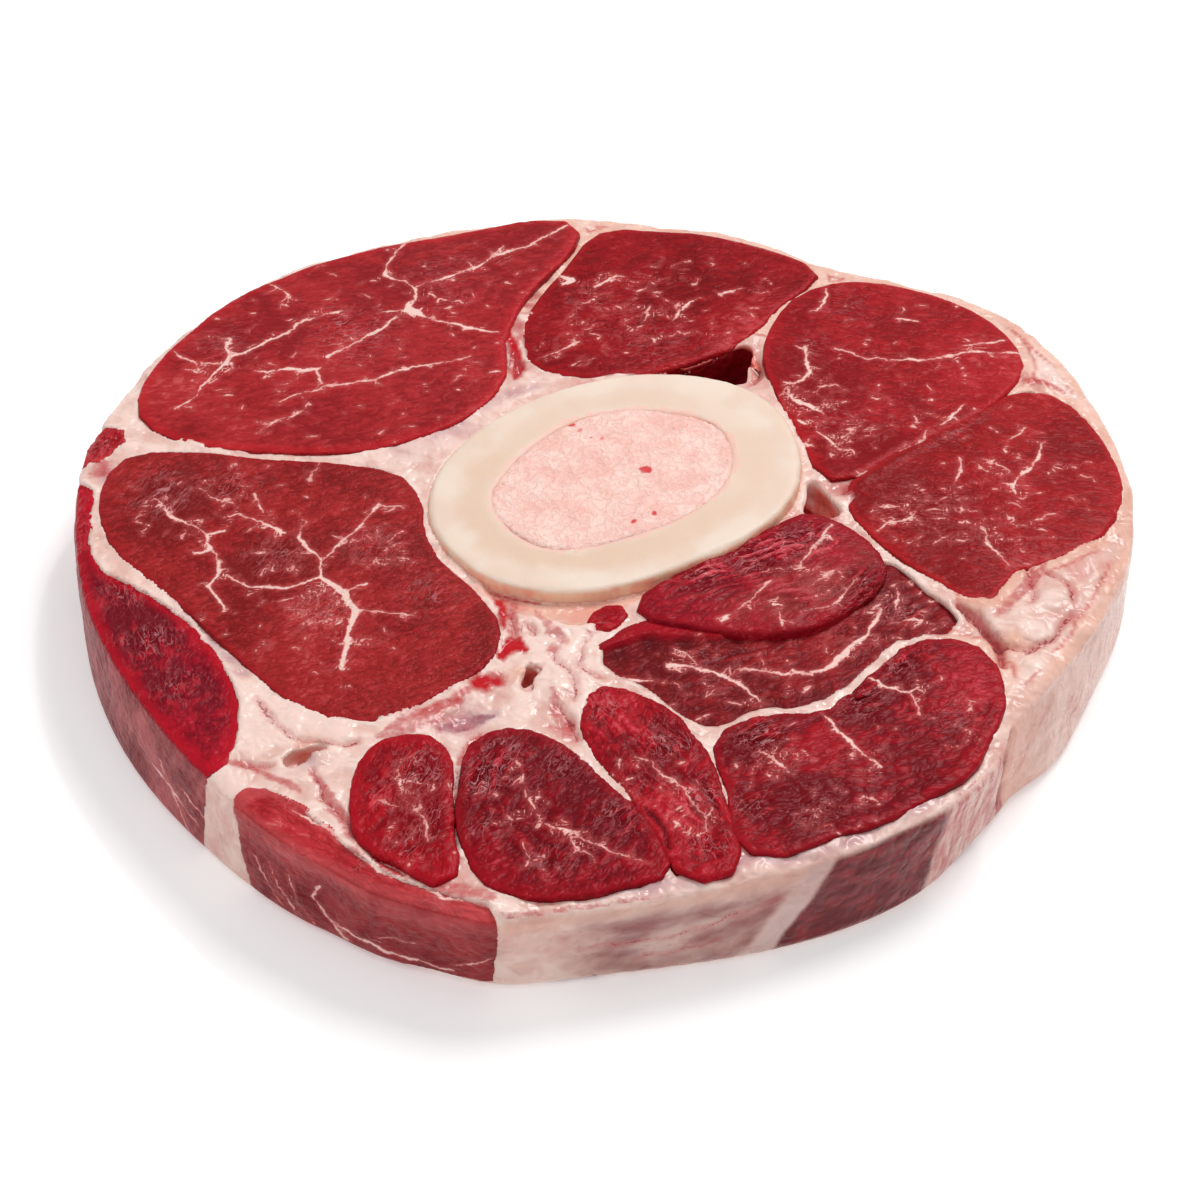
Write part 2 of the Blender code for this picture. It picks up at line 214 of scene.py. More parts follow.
def fineMesh(node, voxel, swell, softening, grow=()):
    # the node's form in small even faces
    shape = cadShape(node, swell, grow)
    mesh = bpy.data.meshes.new(node + "Fine")
    shape.to_mesh(mesh)
    shape.free()

    def evenOut(helper):
        remesh = helper.modifiers.new("remesh", "REMESH")
        remesh.mode = "VOXEL"
        remesh.voxel_size = voxel * mm
        soften = helper.modifiers.new("soften", "SMOOTH")
        soften.factor = 0.5
        soften.iterations = softening

    return applied(mesh, evenOut)


def thinned(mesh, most, hidden):
    # at most so many triangles, the rest taken from the points marked hidden
    def takeOut(helper):
        helper.vertex_groups.new(name="hidden").add(np.flatnonzero(hidden).tolist(), 1, "REPLACE")
        fewer = helper.modifiers.new("fewer", "DECIMATE")
        fewer.ratio = min(1, most / (2 * len(mesh.polygons)))
        fewer.vertex_group = "hidden"

    return applied(mesh, takeOut)


def pointsOf(mesh):
    co = np.empty(len(mesh.vertices) * 3)
    mesh.vertices.foreach_get("co", co)
    normals = np.empty(len(mesh.vertices) * 3, np.float32)
    mesh.vertex_normals.foreach_get("vector", normals)
    return co.reshape(-1, 3), normals.reshape(-1, 3).astype(float)


def store(mesh, name, values):
    layer = mesh.attributes.new(name, "FLOAT", "POINT")
    layer.data.foreach_set("value", np.asarray(values, np.float32))


def storeLines(mesh, name, way, half, flat):
    # the way to the nearest line as a vector; its third part keeps points between two lines,
    # or at the turn of an edge, from averaging to nothing
    away = np.hypot(way[:, 0], way[:, 1]) - half
    lift = 4 * (1 - np.abs(2 * flat - 1))
    whole = np.column_stack([way, 6 * smooth(away, 0.9, 2.2) + lift]) * mm
    layer = mesh.attributes.new(name, "FLOAT_VECTOR", "POINT")
    layer.data.foreach_set("vector", whole.astype(np.float32).ravel())
    store(mesh, name + "Half", half)


def toWall(co, normals, only=True):
    # distance in millimetres, in plan, from every point to the piece's own side wall
    wall = co[(np.abs(normals[:, 2]) < 0.35) & (co[:, 2] > 8 * mm) & only][::3]
    tree = kdtree.KDTree(len(wall))
    for i, place in enumerate(wall):
        tree.insert((place[0], place[1], 0), i)
    tree.balance()
    return np.fromiter((tree.find((x, y, 0))[2] for x, y, _ in co), float, len(co)) / mm


def addPiece(name, node, mesh, material):
    piece = bpy.data.objects.new(name, mesh)
    bpy.context.scene.collection.objects.link(piece)
    mesh.shade_smooth()
    mesh.materials.clear()
    mesh.materials.append(material)
    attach(piece, "root")
    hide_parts(node)
    print("  ", name, len(mesh.loops) - 2 * len(mesh.polygons), "triangles")
    return piece


class Finish:
    # one material, and short names for the nodes it is made of
    def __init__(self, name):
        self.material = bpy.data.materials.new(name)
        self.material.use_nodes = True
        self.tree = self.material.node_tree
        self.surface = self.tree.nodes["Principled BSDF"]
        self.place = self.tree.nodes.new("ShaderNodeTexCoord").outputs["Object"]
        self.colour = None

    def join(self, source, target):
        if hasattr(source, "node"):
            self.tree.links.new(source, target)
        else:
            target.default_value = source

    def add(self, kind, **inputs):
        node = self.tree.nodes.new(kind)
        for name, value in inputs.items():
            self.join(value, node.inputs[name.replace("_", " ")])
        return node

    def attribute(self, name, output="Fac"):
        node = self.tree.nodes.new("ShaderNodeAttribute")
        node.attribute_name = name
        return node.outputs[output]

    def drawnAlong(self, direction, share):
        # object coordinates in which every pattern is drawn out along one direction
        node = self.add("ShaderNodeMapping", Vector=self.place)
        node.vector_type = "TEXTURE"
        turn = Vector((0, 0, 1)).rotation_difference(Vector(direction))
        node.inputs["Rotation"].default_value = turn.to_euler()
        node.inputs["Scale"].default_value = (1, 1, 1 / share)
        return node.outputs["Vector"]

    def noise(self, size, place=None, detail=2.0, roughness=0.55, output="Fac"):
        # size is the wavelength in millimetres
        node = self.add(
            "ShaderNodeTexNoise", Vector=place or self.place, Scale=1 / (size * mm),
            Detail=detail, Roughness=roughness,
        )
        return node.outputs[output]

    def vector(self, operation, first, second=None, scale=None, output=0):
        node = self.tree.nodes.new("ShaderNodeVectorMath")
        node.operation = operation
        self.join(first, node.inputs[0])
        if second is not None:
            self.join(second, node.inputs[1])
        if scale is not None:
            node.inputs["Scale"].default_value = scale
        return node.outputs[output]

    def warped(self, place, size, amount, over=None, detail=1.0):
        # coordinates pushed about by noise, so that no line runs straight
        drift = self.noise(size, over or place, detail, output="Color")
        centred = self.vector("SUBTRACT", drift, (0.5, 0.5, 0.5))
        return self.vector("ADD", place, self.vector("SCALE", centred, scale=amount * mm))

    def lineGap(self, name, size, amount):
        # millimetres to the torn edge of the nearest drawn line, below 0 inside it
        way = self.warped(self.attribute(name, "Vector"), size, amount, self.place, 2.0)
        away = self.vector("LENGTH", way, output="Value")
        return self.added(away, 1 / mm, self.times(self.attribute(name + "Half"), -1.0))

    def math(self, operation, first, second=0.0, third=0.0):
        node = self.tree.nodes.new("ShaderNodeMath")
        node.operation = operation
        self.join(first, node.inputs[0])
        self.join(second, node.inputs[1])
        self.join(third, node.inputs[2])
        return node.outputs[0]

    def times(self, first, second):
        return self.math("MULTIPLY", first, second)

    def added(self, part, factor, rest):
        # rest, and part times factor on top of it
        return self.math("MULTIPLY_ADD", part, factor, rest)

    def hills(self, value, width):
        # 0 in the sharp valleys where a noise crosses its middle, 1 on the hills between
        return self.between(self.math("ABSOLUTE", self.math("SUBTRACT", value, 0.5)), 0.0, width)

    def between(self, value, low, high, out0=0.0, out1=1.0):
        # out0 below low, out1 above high, soft between; low may be the larger
        node = self.tree.nodes.new("ShaderNodeMapRange")
        node.interpolation_type = "SMOOTHSTEP"
        for socket, what in zip(node.inputs, (value, low, high, out0, out1)):
            self.join(what, socket)
        return node.outputs["Result"]

    def mix(self, share, first, second):
        node = self.tree.nodes.new("ShaderNodeMix")
        node.data_type = "RGBA"
        self.join(share, node.inputs["Factor"])
        self.join(first, node.inputs[6])
        self.join(second, node.inputs[7])
        return node.outputs[2]

    def blend(self, share, low, high):
        # from one picture tone to another
        return self.mix(share, srgb(*low), srgb(*high))

    def lay(self, share, tone):
        # one more picture tone over the colour so far
        self.colour = self.mix(share, self.colour, srgb(*tone))

    def bump(self, height, distance, strength=1.0):
        node = self.add("ShaderNodeBump", Height=height, Strength=strength, Distance=distance * mm)
        return node.outputs["Normal"]

    def finish(self, rough, normal, **settings):
        self.join(self.colour, self.surface.inputs["Base Color"])
        self.join(rough, self.surface.inputs["Roughness"])
        self.join(normal, self.surface.inputs["Normal"])
        for name, value in settings.items():
            self.surface.inputs[name.replace("_", " ")].default_value = value
        return self.material


meatLook = {
    "voxel": 0.44,
    "swell": 0.65,
    "vein": (224, 150, 144),  # thin marbling, half sunk in the meat
    "veinCore": (240, 204, 194),  # the middle of the thick veins
    "seep": (198, 92, 92),  # fat just under the surface beside a vein
    "paintedSheen": (224, 132, 138),  # painted highlight: a pale sheen along the folds of the crumpled places
    "glint": (240, 176, 178),  # painted highlight: the brightest glints on those folds
    "creaseShade": (66, 8, 14),  # painted shade in the cracks, and the flap's painted shadow
}


def meatFinish(name, s):
    f = Finish(name + "Meat")
    turn = math.radians(s["grain"])
    along = (math.cos(turn), math.sin(turn), 0)
    loose = f.warped(f.drawnAlong(along, 0.6), 3, 2.0)
    size = s.get("foldSize", 2.6)
    # the crumpled places are coarser and glossier than the cut meat around them
    wet = f.attribute("wet")
    coarse = f.math("MINIMUM", f.added(wet, 0.65, s.get("coarse", 0.2)), 1.0)
    waves = f.noise(size, loose)
    hill = f.hills(waves, 0.15)
    swelling = f.hills(waves, 0.36)
    creaseShade = f.hills(f.noise(size * 0.42, loose, detail=1.0), 0.13)
    fibre = f.noise(0.9, f.warped(f.drawnAlong(along, 0.3), 2, 0.7, detail=0.0), roughness=0.6)
    # broad patches and fibres set how pale each point is; the folds and creases add painted light on their
    # hills and painted shade in their valleys
    tone = f.added(coarse, -0.36, f.added(wet, -0.06, f.attribute("tone")))
    parts = ((hill, 0.24, 0.08), (creaseShade, 0.22, 0.06), (fibre, -0.14, 0.44), (swelling, 0.24, 0.0))
    for part, more, least in parts:
        tone = f.added(part, f.added(coarse, more, least), tone)
    f.colour = f.blend(f.between(tone, 0.52, 0.96), s["deep"], s["red"])
    f.lay(f.between(tone, 0.9, 1.26), s["bright"])
    # painted highlights: thin pale lines and broken dashes along the folds of the crumpled places
    lean = math.radians(s.get("lean", s["grain"]))
    folded = f.warped(f.drawnAlong((math.cos(lean), math.sin(lean), 0), 0.34), 3, 1.6)
    glint = f.hills(f.noise(2.0, folded, detail=2.0), 0.07)
    f.lay(f.times(wet, f.between(glint, 0.7, 0.1, 0.0, 0.42)), meatLook["paintedSheen"])
    broken = f.between(f.noise(2.4, detail=1.0), 0.56, 0.46, 1.0, 2.0)
    dash = f.times(f.hills(f.noise(1.3, folded, detail=1.0), 0.09), broken)
    f.lay(f.times(wet, f.between(dash, 0.3, 0.05, 0.0, 0.55)), meatLook["glint"])
    if "tintTone" in s:
        f.lay(f.times(f.attribute("tint"), f.between(hill, 0, 1, 0.9, 0.7)), s["tintTone"])
    # a band along each cut face's edge in the piece's edge colour: partly the meat's own brighter edge,
    # partly a painted highlight along the rounded rim
    rim = f.between(f.attribute("rim"), s.get("rimWidth", 2.0), 0.3)
    f.lay(f.times(rim, s.get("rimGlow", 0.5)), s["edge"])
    # skin and fibres on the outer wall
    if "wallDark" in s:
        streak = f.noise(1.6, f.warped(f.drawnAlong(s["wallLean"], 0.2), 5, 2.5), detail=3.0)
        skin = f.added(f.noise(9, detail=2.0), 0.9, f.times(streak, 0.5))
        skin = f.blend(f.between(skin, 0.45, 0.95), s["wallDark"], s["wallLight"])
        skin = f.mix(f.attribute("lip"), skin, srgb(*s["edge"]))
        f.colour = f.mix(f.attribute("wall"), f.colour, skin)
    # marbling
    gap = f.added(f.noise(3.5, detail=1.0), 0.8, f.lineGap("vein", 1.0, 0.9))
    f.lay(f.between(gap, 1.3, 0.4, 0.0, 0.3), meatLook["seep"])
    f.lay(f.between(gap, 0.46, 0.34, 0.0, 0.85), meatLook["vein"])
    f.lay(f.between(gap, 0.34, 0.14), meatLook["veinCore"])
    # painted shade: dark cracks and the shadow under the flap's lip
    f.lay(f.attribute("creaseShade"), meatLook["creaseShade"])
    relief = f.times(swelling, f.added(coarse, 0.75, 0.03))
    relief = f.added(fibre, 0.045, relief)
    relief = f.added(creaseShade, f.added(coarse, 0.1, 0.01), relief)
    relief = f.added(glint, f.times(wet, -0.32), relief)
    rough = f.added(wet, -0.24, f.added(fibre, 0.12, 0.3))
    return f.finish(
        f.math("MAXIMUM", rough, 0.15), f.bump(relief, 1.0), Subsurface_Weight=0.1,
        Subsurface_Radius=(1, 0.25, 0.18), Subsurface_Scale=1.4 * mm,
        Specular_IOR_Level=s.get("gloss", 0.14), Specular_Tint=(1, 0.42, 0.46, 1),
    )


def meatPiece(name, node, s):
    print("meat:", name)
    chance = random.Random(name)
    voxel = meatLook["voxel"]
    mesh = fineMesh(node, voxel, meatLook["swell"], 1, s.get("grow", ()))
    co, normals = pointsOf(mesh)
    plan = planOf(co)
    height = co[:, 2] / mm
    upright = np.abs(normals[:, 2])
    flat = smooth(upright, 0.25, 0.75)  # 1 on the two cut faces
    top = smooth(normals[:, 2], 0.25, 0.75) * smooth(height, 9, 12)
    high = smooth(height, 2, 6)
    # marbling: the drawn veins, their twigs, specks, strokes and rays drift with the depth
    drawn = list(s.get("veins", ()))
    lines = drawn + twigs(drawn, chance, s.get("twig", 2.6))
    lines += dashes(s.get("specks", ()), s["grain"], chance)
    lines += rays(s.get("rays", ()), chance)
    depth = 5 * (1 - smooth(height, 4, 15))
    drift = np.stack([ripples(co, 14, 61), ripples(co, 14, 62)], 1) * depth[:, None]
    bent = wander(co, plan, 0.3, 1.0) + drift
    way, half, _ = nearest(bent, lines)
    way[flat < 0.9] = farAway
    if "wallVeins" in s:
        sway = np.stack([ripples(co, 3, 5), ripples(co, 3, 6)], 1) * 0.8
        wallWay, wallHalf, _ = nearest(np.stack([plan[:, 0], height], 1) + sway, s["wallVeins"])
        way = np.where(flat[:, None] < 0.5, wallWay, way)
        half = np.where(flat < 0.5, wallHalf, half)
    storeLines(mesh, "vein", way, half, flat)
    rim = toWall(co, normals)
    store(mesh, "rim", rim + 9 * (1 - flat))
    # relief: crumpled skin, pleats, cracks
    wet = spots(bent, s.get("wet", ()))
    crumpled = s.get("crumple", 0.07) * (0.4 + wet) * (1 + ripples(co, 9, 16))
    raised = 0.12 * ripples(co, 7, 6)
    raised += crumpled * crumple(co, s.get("crumpleSize", 2.6), 8)
    raised += 0.2 * wet * pleats(co, s.get("lean", s["grain"]), 6, 1.5, 12)
    pleat = np.zeros(len(co))
    for x, y, radius, depth, angle, across in s.get("folds", ()):
        pleat += spots(plan, [(x, y, radius, 1.0)]) * depth * pleats(co, angle, across * 5, across, 3)
    crack = smooth(nearest(bent, s.get("cracks", ()))[2], 0.5, -0.2)
    raised += pleat + (0.06 + 0.3 * s.get("coarse", 0.2)) * smooth(rim, 1.4, 0.2) - 0.8 * crack
    raised -= spots(plan, s.get("dents", ()))
    raised += 0.4 * np.minimum(spots(plan, s.get("grow", ())), 1) * smooth(rim, 4, 1)
    wallBumps = 0.25 * ripples(co, 6, 9) + 0.14 * crumple(co, 2.4, 15)
    for width, lump, line in s.get("tongues", ()):
        raised += lump * onLine(bent, width, line, 0.35, -0.35)
    moved = np.minimum(raised, 1.2) * top + wallBumps * (1 - flat) * s.get("wallRelief", 0.2)
    co += normals * (moved * high * mm)[:, None]
    mesh.vertices.foreach_set("co", co.ravel())
    # broad patches of paler and darker meat; the pleats add painted light on their crests and painted
    # shade in their valleys
    tone = 0.5 + 0.22 * ripples(co, 15, 31) + 0.14 * ripples(co, 5, 32)
    tone += 0.9 * pleat * top - spots(plan, s.get("darker", ())) + spots(plan, s.get("lighter", ()))
    store(mesh, "tone", tone)
    store(mesh, "wet", np.clip(wet * (0.7 + 0.8 * ripples(co, 3, 33)), 0, 1) * top)
    if "tintTone" in s:
        tint = spots(bent, s.get("tints", ()))
        for width, _, line in s.get("tongues", ()):
            tint = np.maximum(tint, onLine(bent, width, line, 0.3, -0.1))
        store(mesh, "tint", np.clip(tint, 0, 1) * top)
    # painted shade: dark in the cracks, and the shadow that the flap casts on the piece below it
    shade = np.maximum(crack, spots(plan, s.get("shade", ()))) * top
    store(mesh, "creaseShade", np.clip(shade, 0, 0.9))
    if "wallDark" in s:
        store(mesh, "wall", 1 - smooth(upright, 0.3, 0.75))
        ragged = height + 1.6 * ripples(co, 5, 34) + 1.4 * ripples(co, 1.6, 35)
        lip = smooth(ragged, s.get("lip", farAway) - 6, s.get("lip", farAway))
        store(mesh, "lip", lip * (0.55 + 0.4 * ripples(co, 4, 36)))
    return addPiece(name, node, mesh, meatFinish(name, s))


backLeft = {
    "grain": 15, "deep": (136, 26, 31), "red": (172, 42, 45), "bright": (202, 86, 85),
    "edge": (206, 34, 42), "rimWidth": 3.0, "rimGlow": 0.42, "crumple": 0.08, "coarse": 0.22,
    "grow": ((-12, 74, 12, 0.6),),
    "veins": (
        (0.4, ((-80, 42), (-76, 46), (-75, 49), (-73, 53), (-71, 57), (-66, 60), (-60, 64.5),
               (-57, 68), (-53, 69.8))),
        (0.3, ((-53, 69.8), (-48.5, 70.8))), (0.3, ((-71, 57), (-71.5, 60), (-71, 62.5), (-73, 63))),
        (0.3, ((-82, 59), (-80, 56.5), (-77.5, 55.5), (-76.5, 53))), (0.25, ((-77, 55.5), (-73, 55.5))),
        (0.2, ((-64, 80.5), (-62, 77.5), (-60, 75.5))),
        (0.35, ((-38.5, 94), (-41, 91), (-42, 86.5), (-42, 82.5), (-38, 81), (-36.5, 79), (-36.5, 75),
                (-37.5, 71.5))),
        (0.8, ((-37.5, 74), (-37.5, 71.5), (-34, 70))),
        (0.35, ((-34, 70), (-28, 68), (-24, 66.5), (-20, 65))), (0.3, ((-37.5, 71.5), (-43, 71))),
        (0.3, ((-36, 79.5), (-30, 82), (-25, 85), (-21, 89), (-15, 92.5), (-11, 95), (-6, 99))),
        (0.4, ((-38.5, 71), (-42, 66), (-46, 63), (-49, 60), (-52, 57))),
        (0.35, ((-66, 52.8), (-60, 52.6), (-55, 53), (-53.5, 54))),
        (0.3, ((-54, 53), (-52.5, 48.5), (-48, 48.5), (-43, 50), (-38, 53), (-33, 55), (-25, 58))),
        (0.3, ((-53, 48), (-57, 46), (-61, 44))), (0.2, ((-55.5, 42), (-60, 39), (-64, 35))),
    ),
    "specks": ((-50, 60, 30, 70), (-65, 48, 14, 20), (-25, 80, 14, 20)),
    "wet": ((-48, 64, 9, 0.5), (-72, 62, 7, 0.35), (-30, 84, 8, 0.3)),
    "lighter": ((-52, 62, 7, 0.2), (-84, 50, 8, 0.15)),
}
back = {
    "grain": 12, "deep": (112, 10, 16), "red": (152, 20, 26), "bright": (190, 62, 66),
    "edge": (186, 34, 42), "rimWidth": 2.5, "rimGlow": 0.4, "crumple": 0.05,
    "grow": ((-14, 66, 10, 0.6),), "dents": ((26, 60, 4, 0.9),),
    "veins": (
        (0.25, ((-1, 80), (2, 82.5), (5, 83.2))), (0.25, ((14, 69.5), (16, 72.5), (19, 76.5))),
        (0.25, ((24, 78), (28, 79))), (0.2, ((7, 78.5), (9.5, 80))),
        (0.25, ((-12, 58), (-8, 60), (-4, 62.5))), (0.6, ((-8.5, 84), (-5.5, 82.2), (-8, 81))),
    ),
    "specks": ((5, 72, 13, 45), (20, 78, 14, 25), (-5, 62, 8, 16), (30, 68, 12, 14)),
    "wet": ((0, 72, 8, 0.3), (10, 62, 8, 0.25)), "lighter": ((31, 70, 9, 0.3), (26, 64, 6, 0.25)),
}
rightUpper = {
    "grain": -8, "deep": (132, 16, 22), "red": (170, 29, 34), "bright": (206, 72, 75),
    "edge": (190, 36, 42), "rimGlow": 0.45, "crumple": 0.05,
    "grow": ((58, 30, 12, 1.3), (70, 43, 8, 0.6), (49, 22, 6, 0.8)),
    "veins": (
        (0.35, ((44, 79), (44, 75), (42.5, 72), (41, 71.5))), (0.3, ((57, 69), (62, 68.5))),
        (0.3, ((69, 60.5), (73, 61.5), (78, 63))),
        (0.3, ((45, 60), (48, 59), (51, 57), (61, 56.8), (66, 57.5), (71, 59), (80, 59))),
        (0.4, ((39.5, 61), (40, 54), (39, 51), (37, 50), (35, 50.5))),
        (0.4, ((35.5, 49), (37, 45), (40, 42.5), (42, 40.5))), (0.4, ((37.5, 39.5), (39, 38))),
        (0.35, ((44.4, 19.1), (47.6, 22.7), (50.9, 26.1))),
        (0.3, ((55.2, 29.6), (58, 31.4), (61.4, 36.1))), (0.35, ((63.4, 37.6), (66, 40.5), (69, 43.2))),
        (0.35, ((41, 35.5), (43, 33), (44.5, 30))), (0.3, ((38, 33), (39.5, 31.5))),
    ),
    "specks": ((40, 46, 7, 40), (45, 34, 7, 26), (58, 62, 18, 22), (60, 45, 14, 14)),
    "wet": ((41, 60, 6, 0.3), (44, 38, 7, 0.3), (48, 74, 7, 0.25)),
    "darker": ((42, 48, 9, 0.3), (46, 34, 8, 0.2)),
}
right = {
    "grain": -14, "deep": (128, 16, 20), "red": (164, 28, 31), "bright": (200, 74, 74),
    "edge": (198, 42, 46), "rimGlow": 0.45, "crumple": 0.05,
    "grow": ((58, 30, 12, 1.3), (70, 43, 8, 0.6), (49, 22, 6, 0.8)),
    "veins": (
        (0.35, ((82.5, 33), (81, 28.5), (79.5, 25), (77, 22.5), (76, 20.8), (73, 20.8))),
        (0.25, ((76, 20.5), (76.3, 18))), (0.25, ((76, 33.5), (80, 37))),
        (0.3, ((66, 28), (66.5, 24), (65.5, 21))), (0.25, ((61, 15.5), (63, 17))),
        (0.3, ((50, 7.5), (52, 9.5), (56, 11), (57.5, 13))), (0.3, ((50, 14), (54, 15))),
        (0.3, ((69, 9), (70, 4), (73, -1.5))),
    ),
    "specks": ((60, 14, 11, 46), (80, 22, 12, 24), (70, 34, 12, 8), (72, 6, 9, 18)),
    "wet": ((56, 14, 8, 0.35), (66, 36, 6, 0.3), (72, 4, 6, 0.3)), "darker": ((62, 16, 11, 0.2),),
}
left = {
    "grain": 30, "deep": (123, 23, 24), "red": (165, 39, 40), "bright": (203, 83, 80),
    "edge": (168, 26, 36), "rimWidth": 1.6, "crumple": 0.12, "crumpleSize": 2.2, "coarse": 0.3,
    "foldSize": 2.0, "lean": 60,
    "rays": ((-49.5, -14, 1.2, 6.5, 34), (-57, 2, 1.5, 6, 20), (-40, 2, 1.5, 6.5, 22)),
    "veins": (
        (0.85, ((-50, -5), (-47, -7), (-45, -9), (-44, -12), (-43, -14), (-43, -18))),
        (0.6, ((-43, -18), (-43.5, -21), (-44.8, -27.5))), (0.35, ((-44.5, -8), (-42, -7))),
        (0.3, ((-43, -13), (-40, -13.5), (-33, -15))),
        (0.4, ((-50, -5), (-53, -6), (-57, -7), (-62, -7.2), (-66, -4))),
        (0.4, ((-50, -5), (-50, 0), (-51, 2), (-54, 6), (-54, 9))),
        (0.3, ((-50, -1), (-47, 3.5), (-44, 8), (-42, 12.5), (-40, 15), (-36, 15.3))),
        (0.35, ((-70.8, 7.5), (-73, 9), (-77, 11.5), (-78.5, 13.3), (-81, 17))),
        (0.45, ((-68, 8.3), (-70.8, 7.5), (-70, 3), (-73, 1.8))),
        (0.4, ((-70, 3), (-68, 0), (-68, -4), (-69, -6), (-66, -13))),
        (0.35, ((-68, 11), (-65.5, 12), (-62, 10), (-57, 7.5))),
        (0.25, ((-74, 19.5), (-71, 17), (-67, 15))), (0.25, ((-63, 17.8), (-61.5, 12.5))),
        (0.25, ((-52, 27.5), (-52.5, 24.5), (-53.5, 21))),
    ),
    "specks": (
        (-78, 14, 9, 20), (-60, -14, 12, 26), (-45, -24, 10, 16), (-62, 16, 12, 20), (-38, 6, 12, 14),
    ),
    "wet": (
        (-80, 18, 7, 0.6), (-68, 20, 6, 0.5), (-58, 1, 6, 0.5), (-49, -13, 6, 0.6), (-40, 3, 6, 0.45),
        (-30, -8, 6, 0.35),
    ),
    "darker": ((-80, 12, 9, 0.3), (-62, 0, 8, 0.25), (-40, 4, 9, 0.15)),
    "lighter": ((-54, -14, 7, 0.15),),
}
leftRim = {
    "grain": 70, "deep": (112, 12, 28), "red": (166, 20, 38), "bright": (210, 72, 88),
    "edge": (194, 18, 38), "rimWidth": 3.2, "rimGlow": 0.75, "crumple": 0.2, "crumpleSize": 2.4,
    "coarse": 0.35, "gloss": 0.15, "lean": 100,
    "folds": ((-86, 6, 7, 0.35, 75, 1.8), (-80, -16, 8, 0.4, 110, 2)), "wallDark": (126, 44, 50),
    "wallLight": (184, 94, 95), "wallLean": (0.25, -0.3, 0.92), "wallRelief": 0.7,
    "wallVeins": (
        (0.2, ((-80, 10), (-74, 8), (-68.5, 5.5))), (0.2, ((-75.5, 12), (-72.5, 5), (-70.5, 2))),
        (0.2, ((-72, 11), (-67, 9))),
    ),
    "wet": ((-88, 10, 6, 0.7), (-84, -6, 6, 0.6), (-79, -20, 6, 0.7), (-73, -31, 5, 0.4)),
    "darker": ((-88, -2, 7, 0.35), (-82, -16, 8, 0.4), (-76, -28, 6, 0.3)),
}
leftCorner = {
    "grain": 70, "deep": (140, 12, 22), "red": (184, 28, 38), "bright": (212, 84, 88),
    "edge": (205, 60, 66), "crumple": 0.3, "crumpleSize": 2.0, "wet": ((-91, 32, 6, 0.6),),
    "coarse": 0.5, "wallDark": (150, 40, 50), "wallLight": (214, 110, 110), "wallLean": (0.3, 0, 0.95),
}
frontLeftRim = {
    "grain": -30, "deep": (158, 32, 38), "red": (190, 50, 56), "bright": (222, 118, 116),
    "edge": (214, 98, 100), "rimWidth": 1.8, "rimGlow": 0.4, "crumple": 0.12, "coarse": 0.3, "lip": 19,
    "wet": ((-50, -58, 5, 0.4), (-38, -70, 5, 0.5), (-26, -78, 5, 0.4)), "lean": -40,
    "grow": ((-34, -72, 9, 1.2), (-46, -63, 8, 0.8)), "wallDark": (122, 32, 37),
    "wallLight": (164, 58, 60), "wallLean": (0.42, -0.2, 0.88), "wallRelief": 1.0,
    "folds": (
        (-50, -58, 7, 0.3, -35, 1.8), (-38, -69, 7, 0.35, -40, 1.6), (-24, -79, 7, 0.3, -25, 1.8),
    ),
    "wallVeins": (
        (0.35, ((-46.5, 13), (-47.5, 9.5), (-45.5, 6.5), (-43.5, 4.5), (-42, 1))),
        (0.4, ((-45.5, 6.5), (-42, 4.8), (-36, 4.2), (-30, 4.0), (-24, 3))),
        (0.16, ((-58, 11), (-56, 7), (-53, 3))), (0.16, ((-56, 13), (-53, 7), (-51, 3))),
        (0.16, ((-52, 12), (-50.5, 7), (-48, 2.5))), (0.2, ((-37, 7), (-33.5, 8), (-30, 8.5))),
        (0.25, ((-24, 5), (-20, 7), (-18, 9))),
    ),
    "veins": ((0.4, ((-50.9, -60.6), (-42.4, -67.7), (-35.5, -73.7), (-25.6, -79.5), (-16, -82))),),
    "twig": 1.2,
}
smallLeft = {
    "grain": 80, "deep": (128, 8, 20), "red": (168, 13, 26), "bright": (206, 60, 72),
    "edge": (178, 18, 34), "grow": ((-24, -61, 8, 0.5), (-27, -74, 7, 1.2), (-37, -67, 7, 1.4)),
    "rimWidth": 3.0, "rimGlow": 0.55, "crumple": 0.22, "coarse": 0.35, "foldSize": 3.0, "lean": 60,
    "veins": (
        (0.16, ((-34, -50), (-33, -55), (-32, -59), (-29, -63), (-28, -68))),
        (0.12, ((-37, -59), (-33, -61), (-31, -62))),
    ),
    "twig": 1.3, "specks": ((-30, -58, 8, 14), (-28, -68, 7, 8)), "gloss": 0.15,
    "folds": ((-30, -53, 6, 0.4, 70, 1.8), (-27, -64, 6, 0.4, 60, 1.8), (-34, -62, 5, 0.25, 40, 2)),
    "wet": ((-30, -52, 5, 0.9), (-26.5, -63, 5, 0.8), (-36, -56, 4, 0.3), (-31, -70, 4, 0.6)),
    "darker": ((-31, -60, 5, 0.3), (-28, -66, 4, 0.25), (-27, -53, 4, 0.2)),
    "lighter": ((-36, -58, 4, 0.2),),
}
